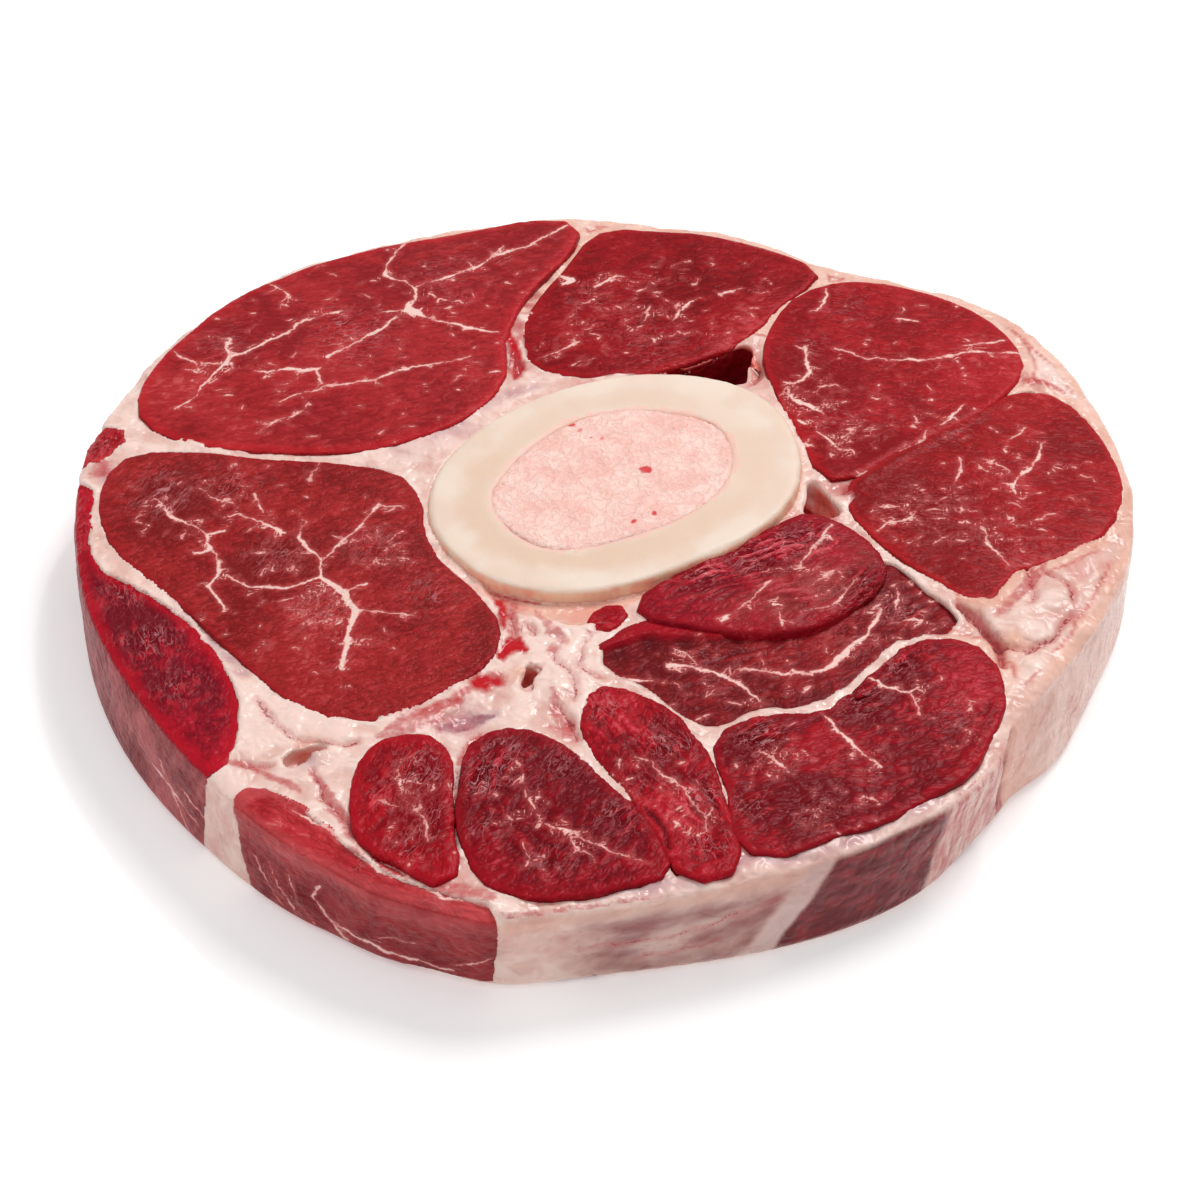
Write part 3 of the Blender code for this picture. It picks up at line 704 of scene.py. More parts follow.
smallRight = {
    "grain": 50, "deep": (104, 6, 18), "red": (146, 10, 24), "bright": (188, 56, 70),
    "edge": (162, 16, 30),
    "grow": ((-23.5, -61, 8, 0.5), (-5, -78, 12, 1.2), (-16, -76, 6, 0.8), (7, -63, 7, 1.0)),
    "rimWidth": 2.6, "crumple": 0.22, "coarse": 0.35, "foldSize": 3.0, "lean": 65,
    "darker": ((-12, -60, 8, 0.2), (0, -68, 7, 0.2)), "lighter": ((-18, -70, 6, 0.15),),
    "veins": (
        (0.2, ((-14, -50), (-13, -55), (-9.5, -64), (-6, -66.5), (-1, -73))),
        (0.25, ((-13, -69), (-11, -73))), (0.2, ((-9.5, -64), (-4, -67), (2, -71), (8, -74))),
    ),
    "specks": ((-14, -58, 8, 12), (-8, -68, 9, 10)), "gloss": 0.15,
    "folds": (
        (-18, -54, 6, 0.45, 75, 1.9), (-4, -52, 6, 0.35, 60, 1.9), (4, -63, 5, 0.35, 60, 1.8),
        (-12, -68, 6, 0.3, -40, 2.2),
    ),
    "wet": (
        (-19.5, -54, 5, 1.0), (-16, -48, 4, 0.9), (-6, -50, 5, 0.6), (4, -62, 5, 0.6),
        (-18, -65, 4, 0.5), (-8, -73, 4, 0.5),
    ),
}
wedge = {
    "grain": 60, "deep": (118, 9, 20), "red": (174, 20, 34), "bright": (208, 70, 82),
    "edge": (166, 16, 30),
    "grow": ((12, -36, 9, 0.7), (17, -73, 8, 1.9), (27, -50, 8, 0.5), (9, -64, 7, 1.0)),
    "rimWidth": 2.4, "rimGlow": 0.45, "crumple": 0.22, "coarse": 0.35, "foldSize": 3.0, "lean": -60,
    "lighter": ((12, -60, 7, 0.2), (4, -40, 6, 0.2)),
    "veins": ((0.25, ((6, -48.5), (9, -50), (11, -53), (14, -57), (17, -63), (17.5, -66))),),
    "specks": ((10, -52, 8, 14), (14, -62, 6, 14)), "gloss": 0.15,
    "folds": ((11, -46, 6, 0.4, -55, 1.8), (16, -60, 6, 0.45, -65, 1.8), (3, -42, 5, 0.3, -50, 2)),
    "cracks": ((0.15, ((8, -60), (10, -65), (12, -70))),),
    "wet": (
        (1, -37, 4, 0.6), (11, -46, 5, 0.8), (17, -58, 4, 0.9), (18, -68, 4, 0.7), (7, -56, 4, 0.3),
    ),
}
frontRight = {
    "grain": 20, "deep": (110, 10, 20), "red": (160, 18, 30), "bright": (198, 60, 72),
    "edge": (172, 26, 38),
    "grow": (
        (27, -50, 8, 0.5), (30, -68, 9, 1.6), (46, -62, 9, 1.6), (59, -51, 9, 1.3), (66, -38, 9, 0.5),
    ),
    "rimWidth": 2.2, "rimGlow": 0.45, "crumple": 0.2, "coarse": 0.3, "foldSize": 3.0, "lean": 40,
    "gloss": 0.15,
    "folds": (
        (27, -45, 6, 0.55, 50, 1.7), (50, -25, 6, 0.5, 40, 1.7), (44, -34, 6, 0.7, 35, 1.7),
        (35, -60, 9, 0.35, 20, 2.2),
    ),
    "veins": (
        (0.4, ((38, -39), (40, -43), (43, -46.5), (47, -51))),
        (0.4, ((46, -30), (49, -32), (53, -33.5), (55, -32.5))),
        (0.25, ((53, -33.5), (54, -37), (54, -39.5))), (0.3, ((27, -48), (32, -53))),
    ),
    "specks": ((40, -56, 12, 30), (56, -40, 10, 16), (30, -50, 8, 16)),
    "wet": (
        (27, -45, 4.5, 1.0), (51, -25, 5, 0.8), (44, -34, 5, 1.0), (25, -60, 4, 0.5), (36, -62, 5, 0.5),
        (60, -40, 4, 0.4),
    ),
    "lighter": ((62, -32, 8, 0.25), (36, -48, 5, 0.2)),
    "darker": ((33, -60, 9, 0.25), (24, -47, 5, 0.4), (46, -38, 6, 0.35), (54, -31, 5, 0.3)),
}
frontMiddle = {
    "grain": 25, "deep": (102, 15, 19), "red": (146, 30, 33), "bright": (188, 74, 72),
    "edge": (118, 24, 30), "grow": ((12, -30, 9, 0.7),), "tintTone": (168, 14, 32),
    "tongues": (
        (2.0, 1.1, ((-0.5, -22.3), (2.4, -19.6), (5.5, -17.6), (10, -17.0), (15, -17.6), (21, -18.8))),
    ),
    "crumple": 0.1, "rimGlow": 0.35,
    "folds": ((24, -24, 14, 0.16, 20, 2.4), (55, -12, 6, 0.3, 50, 1.8)),
    "veins": (
        (0.5, ((49.5, -12), (48.5, -14.5), (47, -17.5), (44.5, -20), (42.5, -23), (40, -25.5),
               (37, -28), (35, -28), (33.5, -27))),
        (0.3, ((37, -28), (31, -27.5), (28.5, -27), (23.5, -27))), (0.25, ((28, -25), (29, -27))),
        (0.4, ((12, -25.5), (15, -26), (17, -26.5), (19, -27), (22, -29), (24.5, -30.5), (27, -34),
               (27.5, -35.5))),
        (0.2, ((13, -21), (15, -23), (17.5, -26))), (0.3, ((2.5, -29.5), (6.5, -29.5), (10, -29))),
        (0.2, ((53, -5.5), (53, -7), (52.5, -9.5), (52.5, -11.5))),
        (0.25, ((53.5, -14.5), (55, -14), (57, -14))), (0.2, ((36.5, -30.5), (35, -32))),
    ),
    "specks": ((26, -24, 12, 30), (44, -18, 10, 20), (55, -12, 8, 16), (14, -32, 10, 16)),
    # painted shadow that the flap's lower lip casts on this piece
    "shade": (
        (3, -23, 1.8, 0.7), (8.5, -20.3, 2, 0.7), (15, -20.4, 2, 0.6), (24, -21.3, 2, 0.6),
        (31, -20.8, 2, 0.5),
    ),
    "wet": ((53, -12, 4, 0.5), (20, -23, 5, 0.3), (45, -20, 4, 0.3)),
    "darker": ((9, -25, 4, 0.2), (50, -8, 4, 0.2)),
}
frontFlap = {
    "grain": 25, "deep": (120, 9, 23), "red": (166, 22, 37), "bright": (210, 80, 91),
    "edge": (144, 12, 26), "rimWidth": 2.4, "rimGlow": 0.75, "crumple": 0.12, "coarse": 0.25,
    "lean": 30, "gloss": 0.16, "grow": ((48, -9, 5, 0.7),), "tintTone": (134, 54, 50),
    "tints": ((40, -8, 7, 0.8), (32, -13, 6, 0.8), (47, 0, 5, 0.5), (25, -14, 5, 0.5)),
    "folds": (
        (28, 0, 8, 0.6, 22, 1.7), (18, -6, 7, 0.5, 30, 1.7), (47, -8, 6, 0.75, 50, 1.7),
        (37, 3, 6, 0.5, 40, 1.6), (33, -11, 6, 0.35, 25, 2.0),
    ),
    "veins": (
        (0.35, ((41.5, 8.5), (40.5, 5), (38, 1.5), (36, -1.5), (35.5, -3.5))),
        (0.16, ((33, -5.5), (30.5, -7), (27.5, -9.5), (25, -12.5), (22, -16.5))),
        (0.35, ((23, -15.5), (21.5, -17))), (0.16, ((42.5, -4), (40, -4.5), (38, -7), (37, -9.5))),
        (0.22, ((46, -5.5), (44, -8), (42, -11), (39, -13.5), (37, -14.5))),
        (0.35, ((31.5, -15), (31.5, -18))),
    ),
    "specks": ((36, -9, 9, 20),),
    "wet": (
        (26, 1, 6, 0.9), (33, 3, 5, 0.8), (49, -7, 4.5, 1.0), (44, -12.5, 4, 1.0), (18, -5, 5, 0.7),
        (39, 6, 4, 0.7),
    ),
    "darker": ((22, -8, 6, 0.3), (30, -3, 5, 0.25), (48, -6, 4, 0.3)),
}
frontScrap = {
    "grain": 10, "deep": (146, 10, 24), "red": (182, 18, 34), "bright": (212, 62, 74),
    "edge": (176, 22, 34), "crumple": 0.15, "coarse": 0.4, "wet": ((0, -19, 5, 0.5),),
}
muscles = {
    "backLeft": backLeft, "back": back, "rightUpper": rightUpper, "right": right, "left": left,
    "leftRim": leftRim, "leftCorner": leftCorner, "frontLeftRim": frontLeftRim,
    "frontSmallLeft": smallLeft, "frontSmallRight": smallRight, "frontWedge": wedge,
    "frontRight": frontRight, "frontMiddle": frontMiddle, "frontFlap": frontFlap, "frontScrap": frontScrap,
}
for place, look in muscles.items():
    node = "muscle_" + "".join("_" + c.lower() if c.isupper() else c for c in place)
    meatPiece("muscle" + place[0].upper() + place[1:], node, look)


fat = {
    "voxel": 0.69, "swell": 0.6, "triangles": 196000,
    "middle": (0, 8), "wallReach": 68,  # the outer wall lies further than this from the middle
    "frontEnd": 5, "splitPlace": 68.5,  # Y where the front wall ends, and X of the cleft in it
    "plain": (228, 186, 174), "white": (244, 213, 202),
    "pink": (216, 142, 135), "blood": (192, 10, 26), "seam": (190, 80, 84), "lavender": (196, 152, 158),
    "peach": (234, 176, 152), "crack": (156, 44, 48), "mauve": (146, 76, 76), "dark": (106, 12, 20),
    "flesh": (148, 38, 44), "pale": (206, 172, 168), "gapRed": (136, 12, 24),
    "gapPink": (232, 124, 112), "veilDark": (148, 92, 106), "rimLine": (206, 116, 104),
    "meat": (146, 24, 30),
    "grow": ((-15.3, -28.5, 2.6, 2.2), (-10, -31.2, 2.2, 1.6), (44, 17, 3.5, 1.6)),
    "sunk": (
        (9.5, -66, 4, 2.2), (66, -39, 8, 0.8), (-36, -69, 7, 0.6), (46, -62, 8, 1), (60, -50, 8, 1),
        (30, -68, 8, 1), (-5, -79, 9, 1), (17, -73, 7, 1),
    ),
    "flushes": (
        (-14, 72, 15, 0.8), (-14, 86, 10, 0.4), (58, 30, 12, 0.9), (45, 20, 5, 0.5), (-17, -12, 4, 0.5),
        (14, -32, 10, 0.5), (-30, -40, 7, 0.5),
    ),
    "wallCracks": (
        (0.12, ((-4, 9.5), (6, 9), (14, 10), (22, 12), (29, 13))), (0.1, ((6, 5), (14, 5.5), (20, 7))),
    ),
    "moat": (1.1, ((-18, -6), (-9.5, -10.5), (-4, -12.5), (0.5, -10), (8, -5))),
    "cracks": (
        (0.2, ((-59, -34), (-55.5, -40), (-52.5, -43.5), (-44, -46), (-41, -45))),
        (0.25, ((-47.5, -51.5), (-46, -57.5), (-41, -64.5), (-35.5, -71.5), (-32.5, -74.5))),
        (0.15, ((-59.5, -50), (-55, -50))), (0.2, ((-16, -12), (-15, -16.5), (-14.5, -19))),
        (0.12, ((-13, -15.5), (-11.5, -18))), (0.15, ((-8, -24), (-4.5, -30), (-4, -35))),
        (0.12, ((-2.5, -20), (-4, -26.5))), (0.12, ((-4, -27), (0.5, -29.5))),
        (0.25, ((-6.5, -36.5), (-5, -40.5), (-4, -44))),
        (0.2, ((-23.9, -52), (-23.7, -60), (-23.4, -70))), (0.3, ((-17, 60), (-15.5, 57), (-16, 53))),
        (0.2, ((-18.5, 61), (-17.5, 56))), (0.25, ((76, -2), (77, -8), (76.5, -11))),
        (0.15, ((82, 50), (86, 44), (91, 36))), (0.25, ((69, -21), (74, -23), (79, -20), (83, -14))),
        (0.15, ((79, -2), (83, -6), (84, -12))),
    ),
    "strands": (
        (0.9, 0.6, ((-37.5, -40), (-34.5, -38), (-31.5, -36.5))),
        (0.8, 0.5, ((-21.5, -4.5), (-19.5, -9.5), (-16, -16.5), (-17, -20))),
        (1.2, 0.5, ((-26, -37), (-30, -40), (-36, -43))), (1.0, 0.5, ((-9, -18), (-3, -17), (0, -15))),
        (1.3, 0.4, ((-6, -24), (-7, -32), (-9, -38))),
    ),
    "stains": (
        (-20.2, -30.6, 2.8, 1.35), (-17.8, -30, 2.2, 1.2), (-14.8, -21.2, 2.0, 1.25),
        (-17, -14, 1.6, 0.9), (-24.5, -34.5, 2.4, 0.75), (-31, -39, 2.4, 0.6), (-8, -22.5, 1.8, 0.7),
        (-6.5, -41, 2.6, 0.6), (-28, -41, 3, 0.4), (41, 13, 4, 0.75), (-16, 55, 3, 0.8),
        (-15, 64, 2.5, 0.6), (69, -20, 2, 0.6), (-24, -72, 2.5, 0.6), (4, -22, 2.5, 0.8),
        (-17.5, -6, 2, 0.7), (-40, -70, 3, 0.5), (80, 52, 3, 0.5), (-92, 26, 3, 0.7),
    ),
    "veils": ((-22.5, -39, 4.5, 0.75), (-49.5, -49.3, 2.6, 0.9), (-28, 37, 5, 0.6), (-36, 31, 4, 0.5)),
    "veilLines": (
        (1.6, 0.7, ((-91.5, 25.5), (-85.5, 11.5), (-77.5, -3), (-70, -15), (-62, -27.5))),
        (1.2, 0.7, ((-31.5, 34), (-24.5, 41.5), (-19, 46.5), (-11.5, 50))),
        (1.8, 1.0, ((-27, -41.5), (-24.5, -40.4), (-21.5, -39.2), (-18, -38))),
        (1.2, 0.7, ((-13, -79), (-3, -79), (6.5, -78), (16, -75.5), (23.5, -72), (32.5, -70.5),
                    (41, -67), (49.5, -62), (56.5, -57), (63, -49))),
    ),
    "paler": (
        (-58, -35, 9, 0.4), (-7, -23, 8, 0.3), (-53, -40, 7, 0.25), (74, -10, 13, -0.45),
        (86, 2, 9, -0.3), (-12, 66, 6, -0.4),
    ),
    "deeps": (
        (18, 58, 10, 2.6), (27, 60, 4, 2.0), (25, 54, 3, 1.4), (-12, -29, 4, 0.75), (38, 17, 3.4, 1.8),
        (43.5, 20, 6, 0.6), (-50, -46, 5, 0.25),
    ),
    "bloodLines": (
        (1.0, 0.66, ((-35.5, -41.5), (-31, -39), (-27, -36), (-24.5, -34.5), (-22.5, -32.5))),
        (0.8, 1.2, ((-17.5, -24.5), (-14.5, -19.5), (-13, -22.5))),
        (0.7, 1.0, ((-17.5, -9), (-17, -16.5))), (0.7, 0.8, ((-18.5, -5), (-15.5, -7.5), (-11, -9))),
        (0.6, 0.6, ((-62, -49.5), (-58, -50.5), (-50, -56))),
        (0.8, 0.6, ((-48, -52), (-43, -61), (-35, -71))),
        (0.7, 0.7, ((-23.5, -50), (-22, -46), (-20, -43))),
        (0.8, 1.1, ((-18, 66), (-17, 62), (-15.5, 57), (-16, 52))),
        (0.5, 0.7, ((74, 48), (80, 52), (88, 48))),
        (1.5, 0.55, ((-44.7, -59.9), (-40.6, -65.6), (-34.6, -71.4), (-26.9, -76.9), (-17.7, -79.9))),
        (1.6, 0.5, ((-18.8, -3), (-17, -9), (-15.8, -14), (-15, -19))),
        (1.0, 0.5, ((-11, -12), (-8.5, -17), (-6, -21))),
        (1.3, 0.5, ((-37, -43.5), (-32, -41.8), (-27, -38.5))),
        (0.9, 0.5, ((-8.5, -33), (-7, -38), (-4.5, -43.5))),
        (0.8, 0.45, ((-2.5, -19), (0, -17), (3, -14))), (1.2, 0.5, ((70, -14), (76, -6), (80, 2))),
    ),
    "meatySeams": (
        (1.6, ((7, 51.5), (13, 53.5), (19, 55.8), (25, 59))),
        (2.0, ((45, 18.5), (51.5, 25.5), (57.5, 30), (62, 35.5))),
        (1.2, ((62, 35.5), (68.5, 41.5), (72, 45))),
        (1.4, ((7.5, -59), (8.8, -63), (10, -67), (11.5, -71.5))),
    ),
    "knobs": (
        (73.5, -17, 5, 1.6), (81, -10, 6, 1.3), (76, -27, 4, 1.0), (86, -2, 5, 0.8),
        (68.5, -12, 2.5, 0.8), (88, -16, 4, 0.8), (45, 17.5, 2.6, 0.9), (-7, -33, 7, 0.5),
        (-52, -38, 7, 0.5), (-51.6, -48.6, 1.5, 2.4), (-47.6, -48.8, 1.4, 1.6),
        (-13.8, -27.8, 1.3, 0.8), (-12.2, -27.5, 1.2, 1.6), (-9, -16, 5, 0.5), (84, 52, 4, 0.6),
        (-36, -50, 4, 0.5),
    ),
    "tans": ((72, -21, 3, 0.9), (71, -27, 2.4, 0.8), (-14.2, -28, 1.8, 0.8), (-49, -46, 3, 0.8)),
    "clefts": (
        (0.8, 2.0, ((63.2, -10.9), (65.4, -14), (67.3, -16.8), (68.9, -20.4), (69.8, -23.9),
                    (70.2, -26.9))),
    ),
    "pits": (
        (-11, -27.6, 1.1, 2.4), (-12.6, -31.2, 1.1, 2.4), (-50, -46.3, 2.0, 1.2),
        (-22.5, -39.5, 3.6, 1.2), (-6, -40, 2.2, 0.8), (-15.8, 56, 1.3, 1.6), (9, 50.5, 3.2, 1.6),
        (14, 52.5, 4, 4), (20, 54.5, 4.5, 7), (26, 56.5, 4.5, 9),
    ),
}


def fatFinish(s):
    f = Finish("fatAndSinew")
    soft = f.warped(f.place, 6, 2.4)
    middle = f.noise(4.4, soft, roughness=0.5)
    fold = f.hills(f.noise(3.4, soft, detail=1.0), 0.2)
    tone = f.math("ADD", middle, f.attribute("tone"))
    f.colour = f.blend(f.between(tone, 0.5, 0.92), s["pink"], s["plain"])
    f.lay(f.between(tone, 0.85, 1.2), s["white"])
    f.lay(f.attribute("peach"), s["peach"])
    f.lay(f.attribute("rimLine"), s["rimLine"])
    # skin and muscle showing through the outer wall
    lying = (0.95, 0.2, 0.22)
    streak = f.noise(1.2, f.drawnAlong((0.25, 0, 0.97), 0.16), detail=3.0)
    level = f.noise(1.4, f.drawnAlong(lying, 0.16), detail=3.0)
    patch = f.noise(8, f.drawnAlong(lying, 0.45), detail=3.0)
    f.lay(f.times(f.attribute("skin"), f.between(streak, 0.35, 0.65, 0.15, 1.0)), s["seam"])
    f.lay(f.times(f.attribute("mauve"), f.between(patch, 0.35, 0.65, 0.95, 0.35)), s["mauve"])
    flesh = f.blend(f.between(level, 0.4, 0.7), s["dark"], s["flesh"])
    f.colour = f.mix(f.attribute("dark"), f.colour, flesh)
    f.lay(f.attribute("band"), s["pale"])
    # membranes, torn edges, flushed and meaty places
    veil = f.attribute("veil")
    thin = f.times(veil, f.between(middle, 0.3, 0.7, 1.0, 0.5))
    f.lay(f.math("MINIMUM", thin, 1.0), s["lavender"])
    thick = f.added(f.noise(2.2, soft, detail=3.0), 1.2, veil)
    f.lay(f.between(thick, 1.35, 1.75, 0.0, 0.85), s["veilDark"])
    torn = f.added(f.noise(1.5, detail=3.0, roughness=0.65), 1.7, f.attribute("rim"))
    f.lay(f.between(torn, 1.35, 0.7, 0.0, 0.7), s["seam"])
    f.lay(f.times(f.attribute("flush"), f.between(middle, 0.62, 0.4)), s["seam"])
    flesh = f.blend(f.between(f.noise(1.2, soft), 0.38, 0.6), s["meat"], s["seam"])
    f.colour = f.mix(f.attribute("meaty"), f.colour, flesh)
    gapWall = f.attribute("gapWall")
    f.lay(f.between(gapWall, 0.05, 0.4), s["gapPink"])
    f.lay(f.between(gapWall, 0.45, 0.9), s["gapRed"])
    # blood and cracks
    stain = f.added(f.noise(1.6, detail=3.0, roughness=0.7), 0.9, f.attribute("blood"))
    f.lay(f.between(stain, 0.6, 1.0, 0.0, 0.55), s["seam"])
    f.lay(f.between(stain, 0.8, 1.5), s["blood"])
    gap = f.added(f.noise(3, detail=1.0), 0.7, f.lineGap("crack", 1.1, 1.6))
    f.lay(f.between(gap, 1.6, 0.3, 0.0, 0.35), s["seam"])
    f.lay(f.between(gap, 0.5, 0.22, 0.0, 0.8), s["crack"])
    relief = f.added(middle, 0.9, f.times(fold, 0.16))
    return f.finish(
        f.between(middle, 0.3, 0.7, 0.2, 0.36), f.bump(relief, 1.0), Subsurface_Weight=0.25,
        Subsurface_Radius=(1, 0.45, 0.35), Subsurface_Scale=1.8 * mm, Specular_IOR_Level=0.32,
    )


def webMesh(s):
    # the web in fine faces; its walls against the muscles don't show, so they need few triangles
    mesh = fineMesh("fat_and_sinew", s["voxel"], s["swell"], 2, s["grow"])
    co, normals = pointsOf(mesh)
    plan = planOf(co)
    out = plan - s["middle"]
    reach = np.hypot(out[:, 0], out[:, 1])
    facing = (normals[:, :2] * out).sum(axis=1) / reach
    hidden = (reach < s["wallReach"]) | (facing < -0.1)
    hidden &= (np.abs(normals[:, 2]) < 0.5) & (spots(plan, s["deeps"]) < 0.1)
    hidden &= (co[:, 2] > 1.5 * mm) & (co[:, 2] < 17.5 * mm)
    return thinned(mesh, s["triangles"], hidden)


def fatPiece(s):
    print("fat, sinew and skin")
    mesh = webMesh(s)
    co, normals = pointsOf(mesh)
    plan = planOf(co)
    height = co[:, 2] / mm
    upright = np.abs(normals[:, 2])
    flat = smooth(upright, 0.2, 0.75)
    top = smooth(normals[:, 2], 0.2, 0.75) * smooth(height, 9, 12)
    high = smooth(height, 2, 6)
    bent = wander(co, plan, 0.3, 0.8)
    rim = toWall(co, normals)
    # cracks on the cut face and on the front wall
    way, half, gap = nearest(bent, s["cracks"])
    way[flat < 0.5] = farAway
    crack = smooth(gap, 0.7, -0.1)
    sway = np.stack([ripples(co, 4, 71), ripples(co, 4, 72)], 1)
    wallWay, wallHalf, _ = nearest(np.stack([plan[:, 0], height], 1) + sway, s["wallCracks"])
    onWall = (flat < 0.3) & (plan[:, 1] < -50)
    way[onWall] = wallWay[onWall]
    half[onWall] = wallHalf[onWall]
    # relief: knobs, pits, clefts, strands, and the moat at the foot of the bone
    raised = 0.4 * ripples(co, 5.5, 21) + 0.14 * crumple(co, 4.5, 22) + 0.35 * smooth(rim, 1.5, 0.3)
    for place in s["knobs"]:
        raised += spots(bent, [place])
    for place in s["pits"]:
        raised -= spots(bent, [place])
    raised -= 0.5 * spots(plan, s["sunk"])
    for width, depth, line in s["clefts"]:
        raised -= depth * onLine(bent, width, line, 0.8, -0.5)
    for width, lump, line in s["strands"]:
        raised += lump * onLine(bent, width, line, 0.5, -0.6)
    moatDepth, moatLine = s["moat"]
    moat = onLine(plan, 1, moatLine, 4.2, 0.3)
    raised = raised * (1 - moat) - moatDepth * moat - 0.7 * crack
    # the outer wall, its front half, and the cleft down the front's right end
    farOut = np.hypot(*(plan - s["middle"]).T) > s["wallReach"]
    outer = (1 - smooth(upright, 0.3, 0.75)) * farOut
    front = outer * (plan[:, 1] < s["frontEnd"])
    along = plan[:, 0] + 0.8 * ripples(co, 4, 26)
    split = front * smooth(np.abs(along - s["splitPlace"] - 0.08 * height), 1.6, 0.2)
    side = 0.3 * ripples(co, 8, 23) + 0.15 * ripples(co, 2.8, 24) - 1.2 * split
    co += normals * ((raised * top + side * (1 - flat)) * high * mm)[:, None]
    mesh.vertices.foreach_set("co", co.ravel())
    storeLines(mesh, "crack", way, half, flat)
    # what the finish reads of the cut face
    store(mesh, "rim", rim + 9 * (1 - flat))
    paler = np.zeros(len(co))
    for x, y, radius, share in s["paler"]:
        paler += math.copysign(1, share) * spots(plan, [(x, y, radius, abs(share))])
    store(mesh, "tone", 0.5 + 0.3 * ripples(co, 9, 25) + 0.25 * (raised * top) + paler * top)
    inPits = [(x, y, radius * 1.5, min(0.3 * depth, 0.6)) for x, y, radius, depth in s["pits"]]
    blood = np.maximum(spots(bent, s["stains"]), spots(bent, inPits))
    for width, strength, line in s["bloodLines"]:
        blood = np.maximum(blood, strength * onLine(bent, width, line, 0.9, -0.3))
    veil = spots(bent, s["veils"])
    for width, strength, line in s["veilLines"]:
        veil = np.maximum(veil, strength * onLine(bent, width, line, 1.0, -0.7))
    meaty = smooth(nearest(bent, s["meatySeams"])[2], 1.0, -0.5) * 0.9
    for width, _, line in s["clefts"]:
        meaty = np.maximum(meaty, 0.8 * onLine(bent, width, line, 0.5, -0.3))
    inside = smooth(height, 20.3, 18.4) * smooth(normals[:, 2], -0.5, -0.2)
    store(mesh, "blood", blood * top)
    store(mesh, "flush", spots(bent, s["flushes"]) * top)
    store(mesh, "veil", veil * top)
    store(mesh, "meaty", np.maximum(meaty, 0.75 * smooth(split, 0.55, 0.95)))
    store(mesh, "gapWall", np.clip(inside * spots(plan, s["deeps"]), 0, 1))
    # the skin's edge round the far side
    edge = toWall(co, normals, farOut) + 0.5 * ripples(co, 5, 29)
    farSide = smooth(plan[:, 0] + plan[:, 1], 20, 50) * top
    broken = smooth(ripples(co, 9, 30), -0.3, 0.1)
    store(mesh, "rimLine", farSide * smooth(np.abs(edge - 3), 0.5, 0.1) * broken)
    # what shows through the front wall: two muscles with a pale band between them, that leans
    # to the right as it rises, skin on the right, and peach tones
    bandEdge = 25 + 0.6 * height
    dark = front * smooth(along, bandEdge + 1.6, bandEdge + 3.2)
    dark = dark * smooth(along, 55 + 0.2 * height, 53.5 + 0.2 * height)
    mauve = front * smooth(along + 2 * ripples(co, 6, 27), -9, 2)
    mauve = mauve * smooth(along, bandEdge - 1, bandEdge - 4) * smooth(height + ripples(co, 5, 28), 20, 14)
    band = front * smooth(np.abs(along - bandEdge), 3.0, 1.2) * 0.7
    skin = front * smooth(along, 52, 58) * (0.8 - 0.68 * smooth(along, 68, 70.5))
    skin = np.maximum(skin, outer * (plan[:, 1] >= s["frontEnd"]) * 0.35)
    lip = front * smooth(height, 15.5, 18) * smooth(along, -17, -14) * smooth(along, 48, 30) * 0.45
    rightEnd = 0.5 * smooth(along, 78, 71) + 0.15 + 0.5 * smooth(height, 4, 1)
    peach = np.maximum(moat * 0.6, lip)
    peach = np.maximum(peach, front * smooth(along, 68, 70) * rightEnd)
    peach = np.maximum(peach, farSide * smooth(edge, 3.4, 1.5) * 0.55)
    peach = np.maximum(peach, spots(bent, s["tans"]) * top)
    fields = {"dark": dark, "mauve": mauve, "band": band, "skin": skin, "peach": peach}
    for name, field in fields.items():
        store(mesh, name, np.clip(field, 0, 1))
    return addPiece("fatAndSinew", "fat_and_sinew", mesh, fatFinish(s))


fatPiece(fat)


bone = {
    "voxel": 0.6, "swell": 0.3, "cream": (232, 206, 187), "light": (238, 218, 202),
    "inner": (228, 196, 172), "side": (255, 216, 186), "sidePink": (255, 184, 158),
    "pink": (243, 198, 183), "middle": (2, 20),
}
marrow = {
    "voxel": 0.5, "swell": 0.6, "pink": (247, 196, 184), "pale": (252, 214, 202),
    "strand": (238, 170, 160), "red": (218, 62, 66),
    "spots": (
        (-6.5, 37.5, 1.6, 1.1), (-5, 36.5, 1.6, 1.0), (-3.5, 34.5, 1.0, 0.85), (-2, 32.5, 0.9, 0.85),
        (0.3, 32, 1.2, 0.8), (8.4, 23, 1.6, 1.15), (9.8, 10.6, 1.2, 1.05), (6.2, 8.4, 1.0, 1.0),
        (-8, 12, 0.9, 0.5), (4, 41, 2, 0.5),
    ),
}


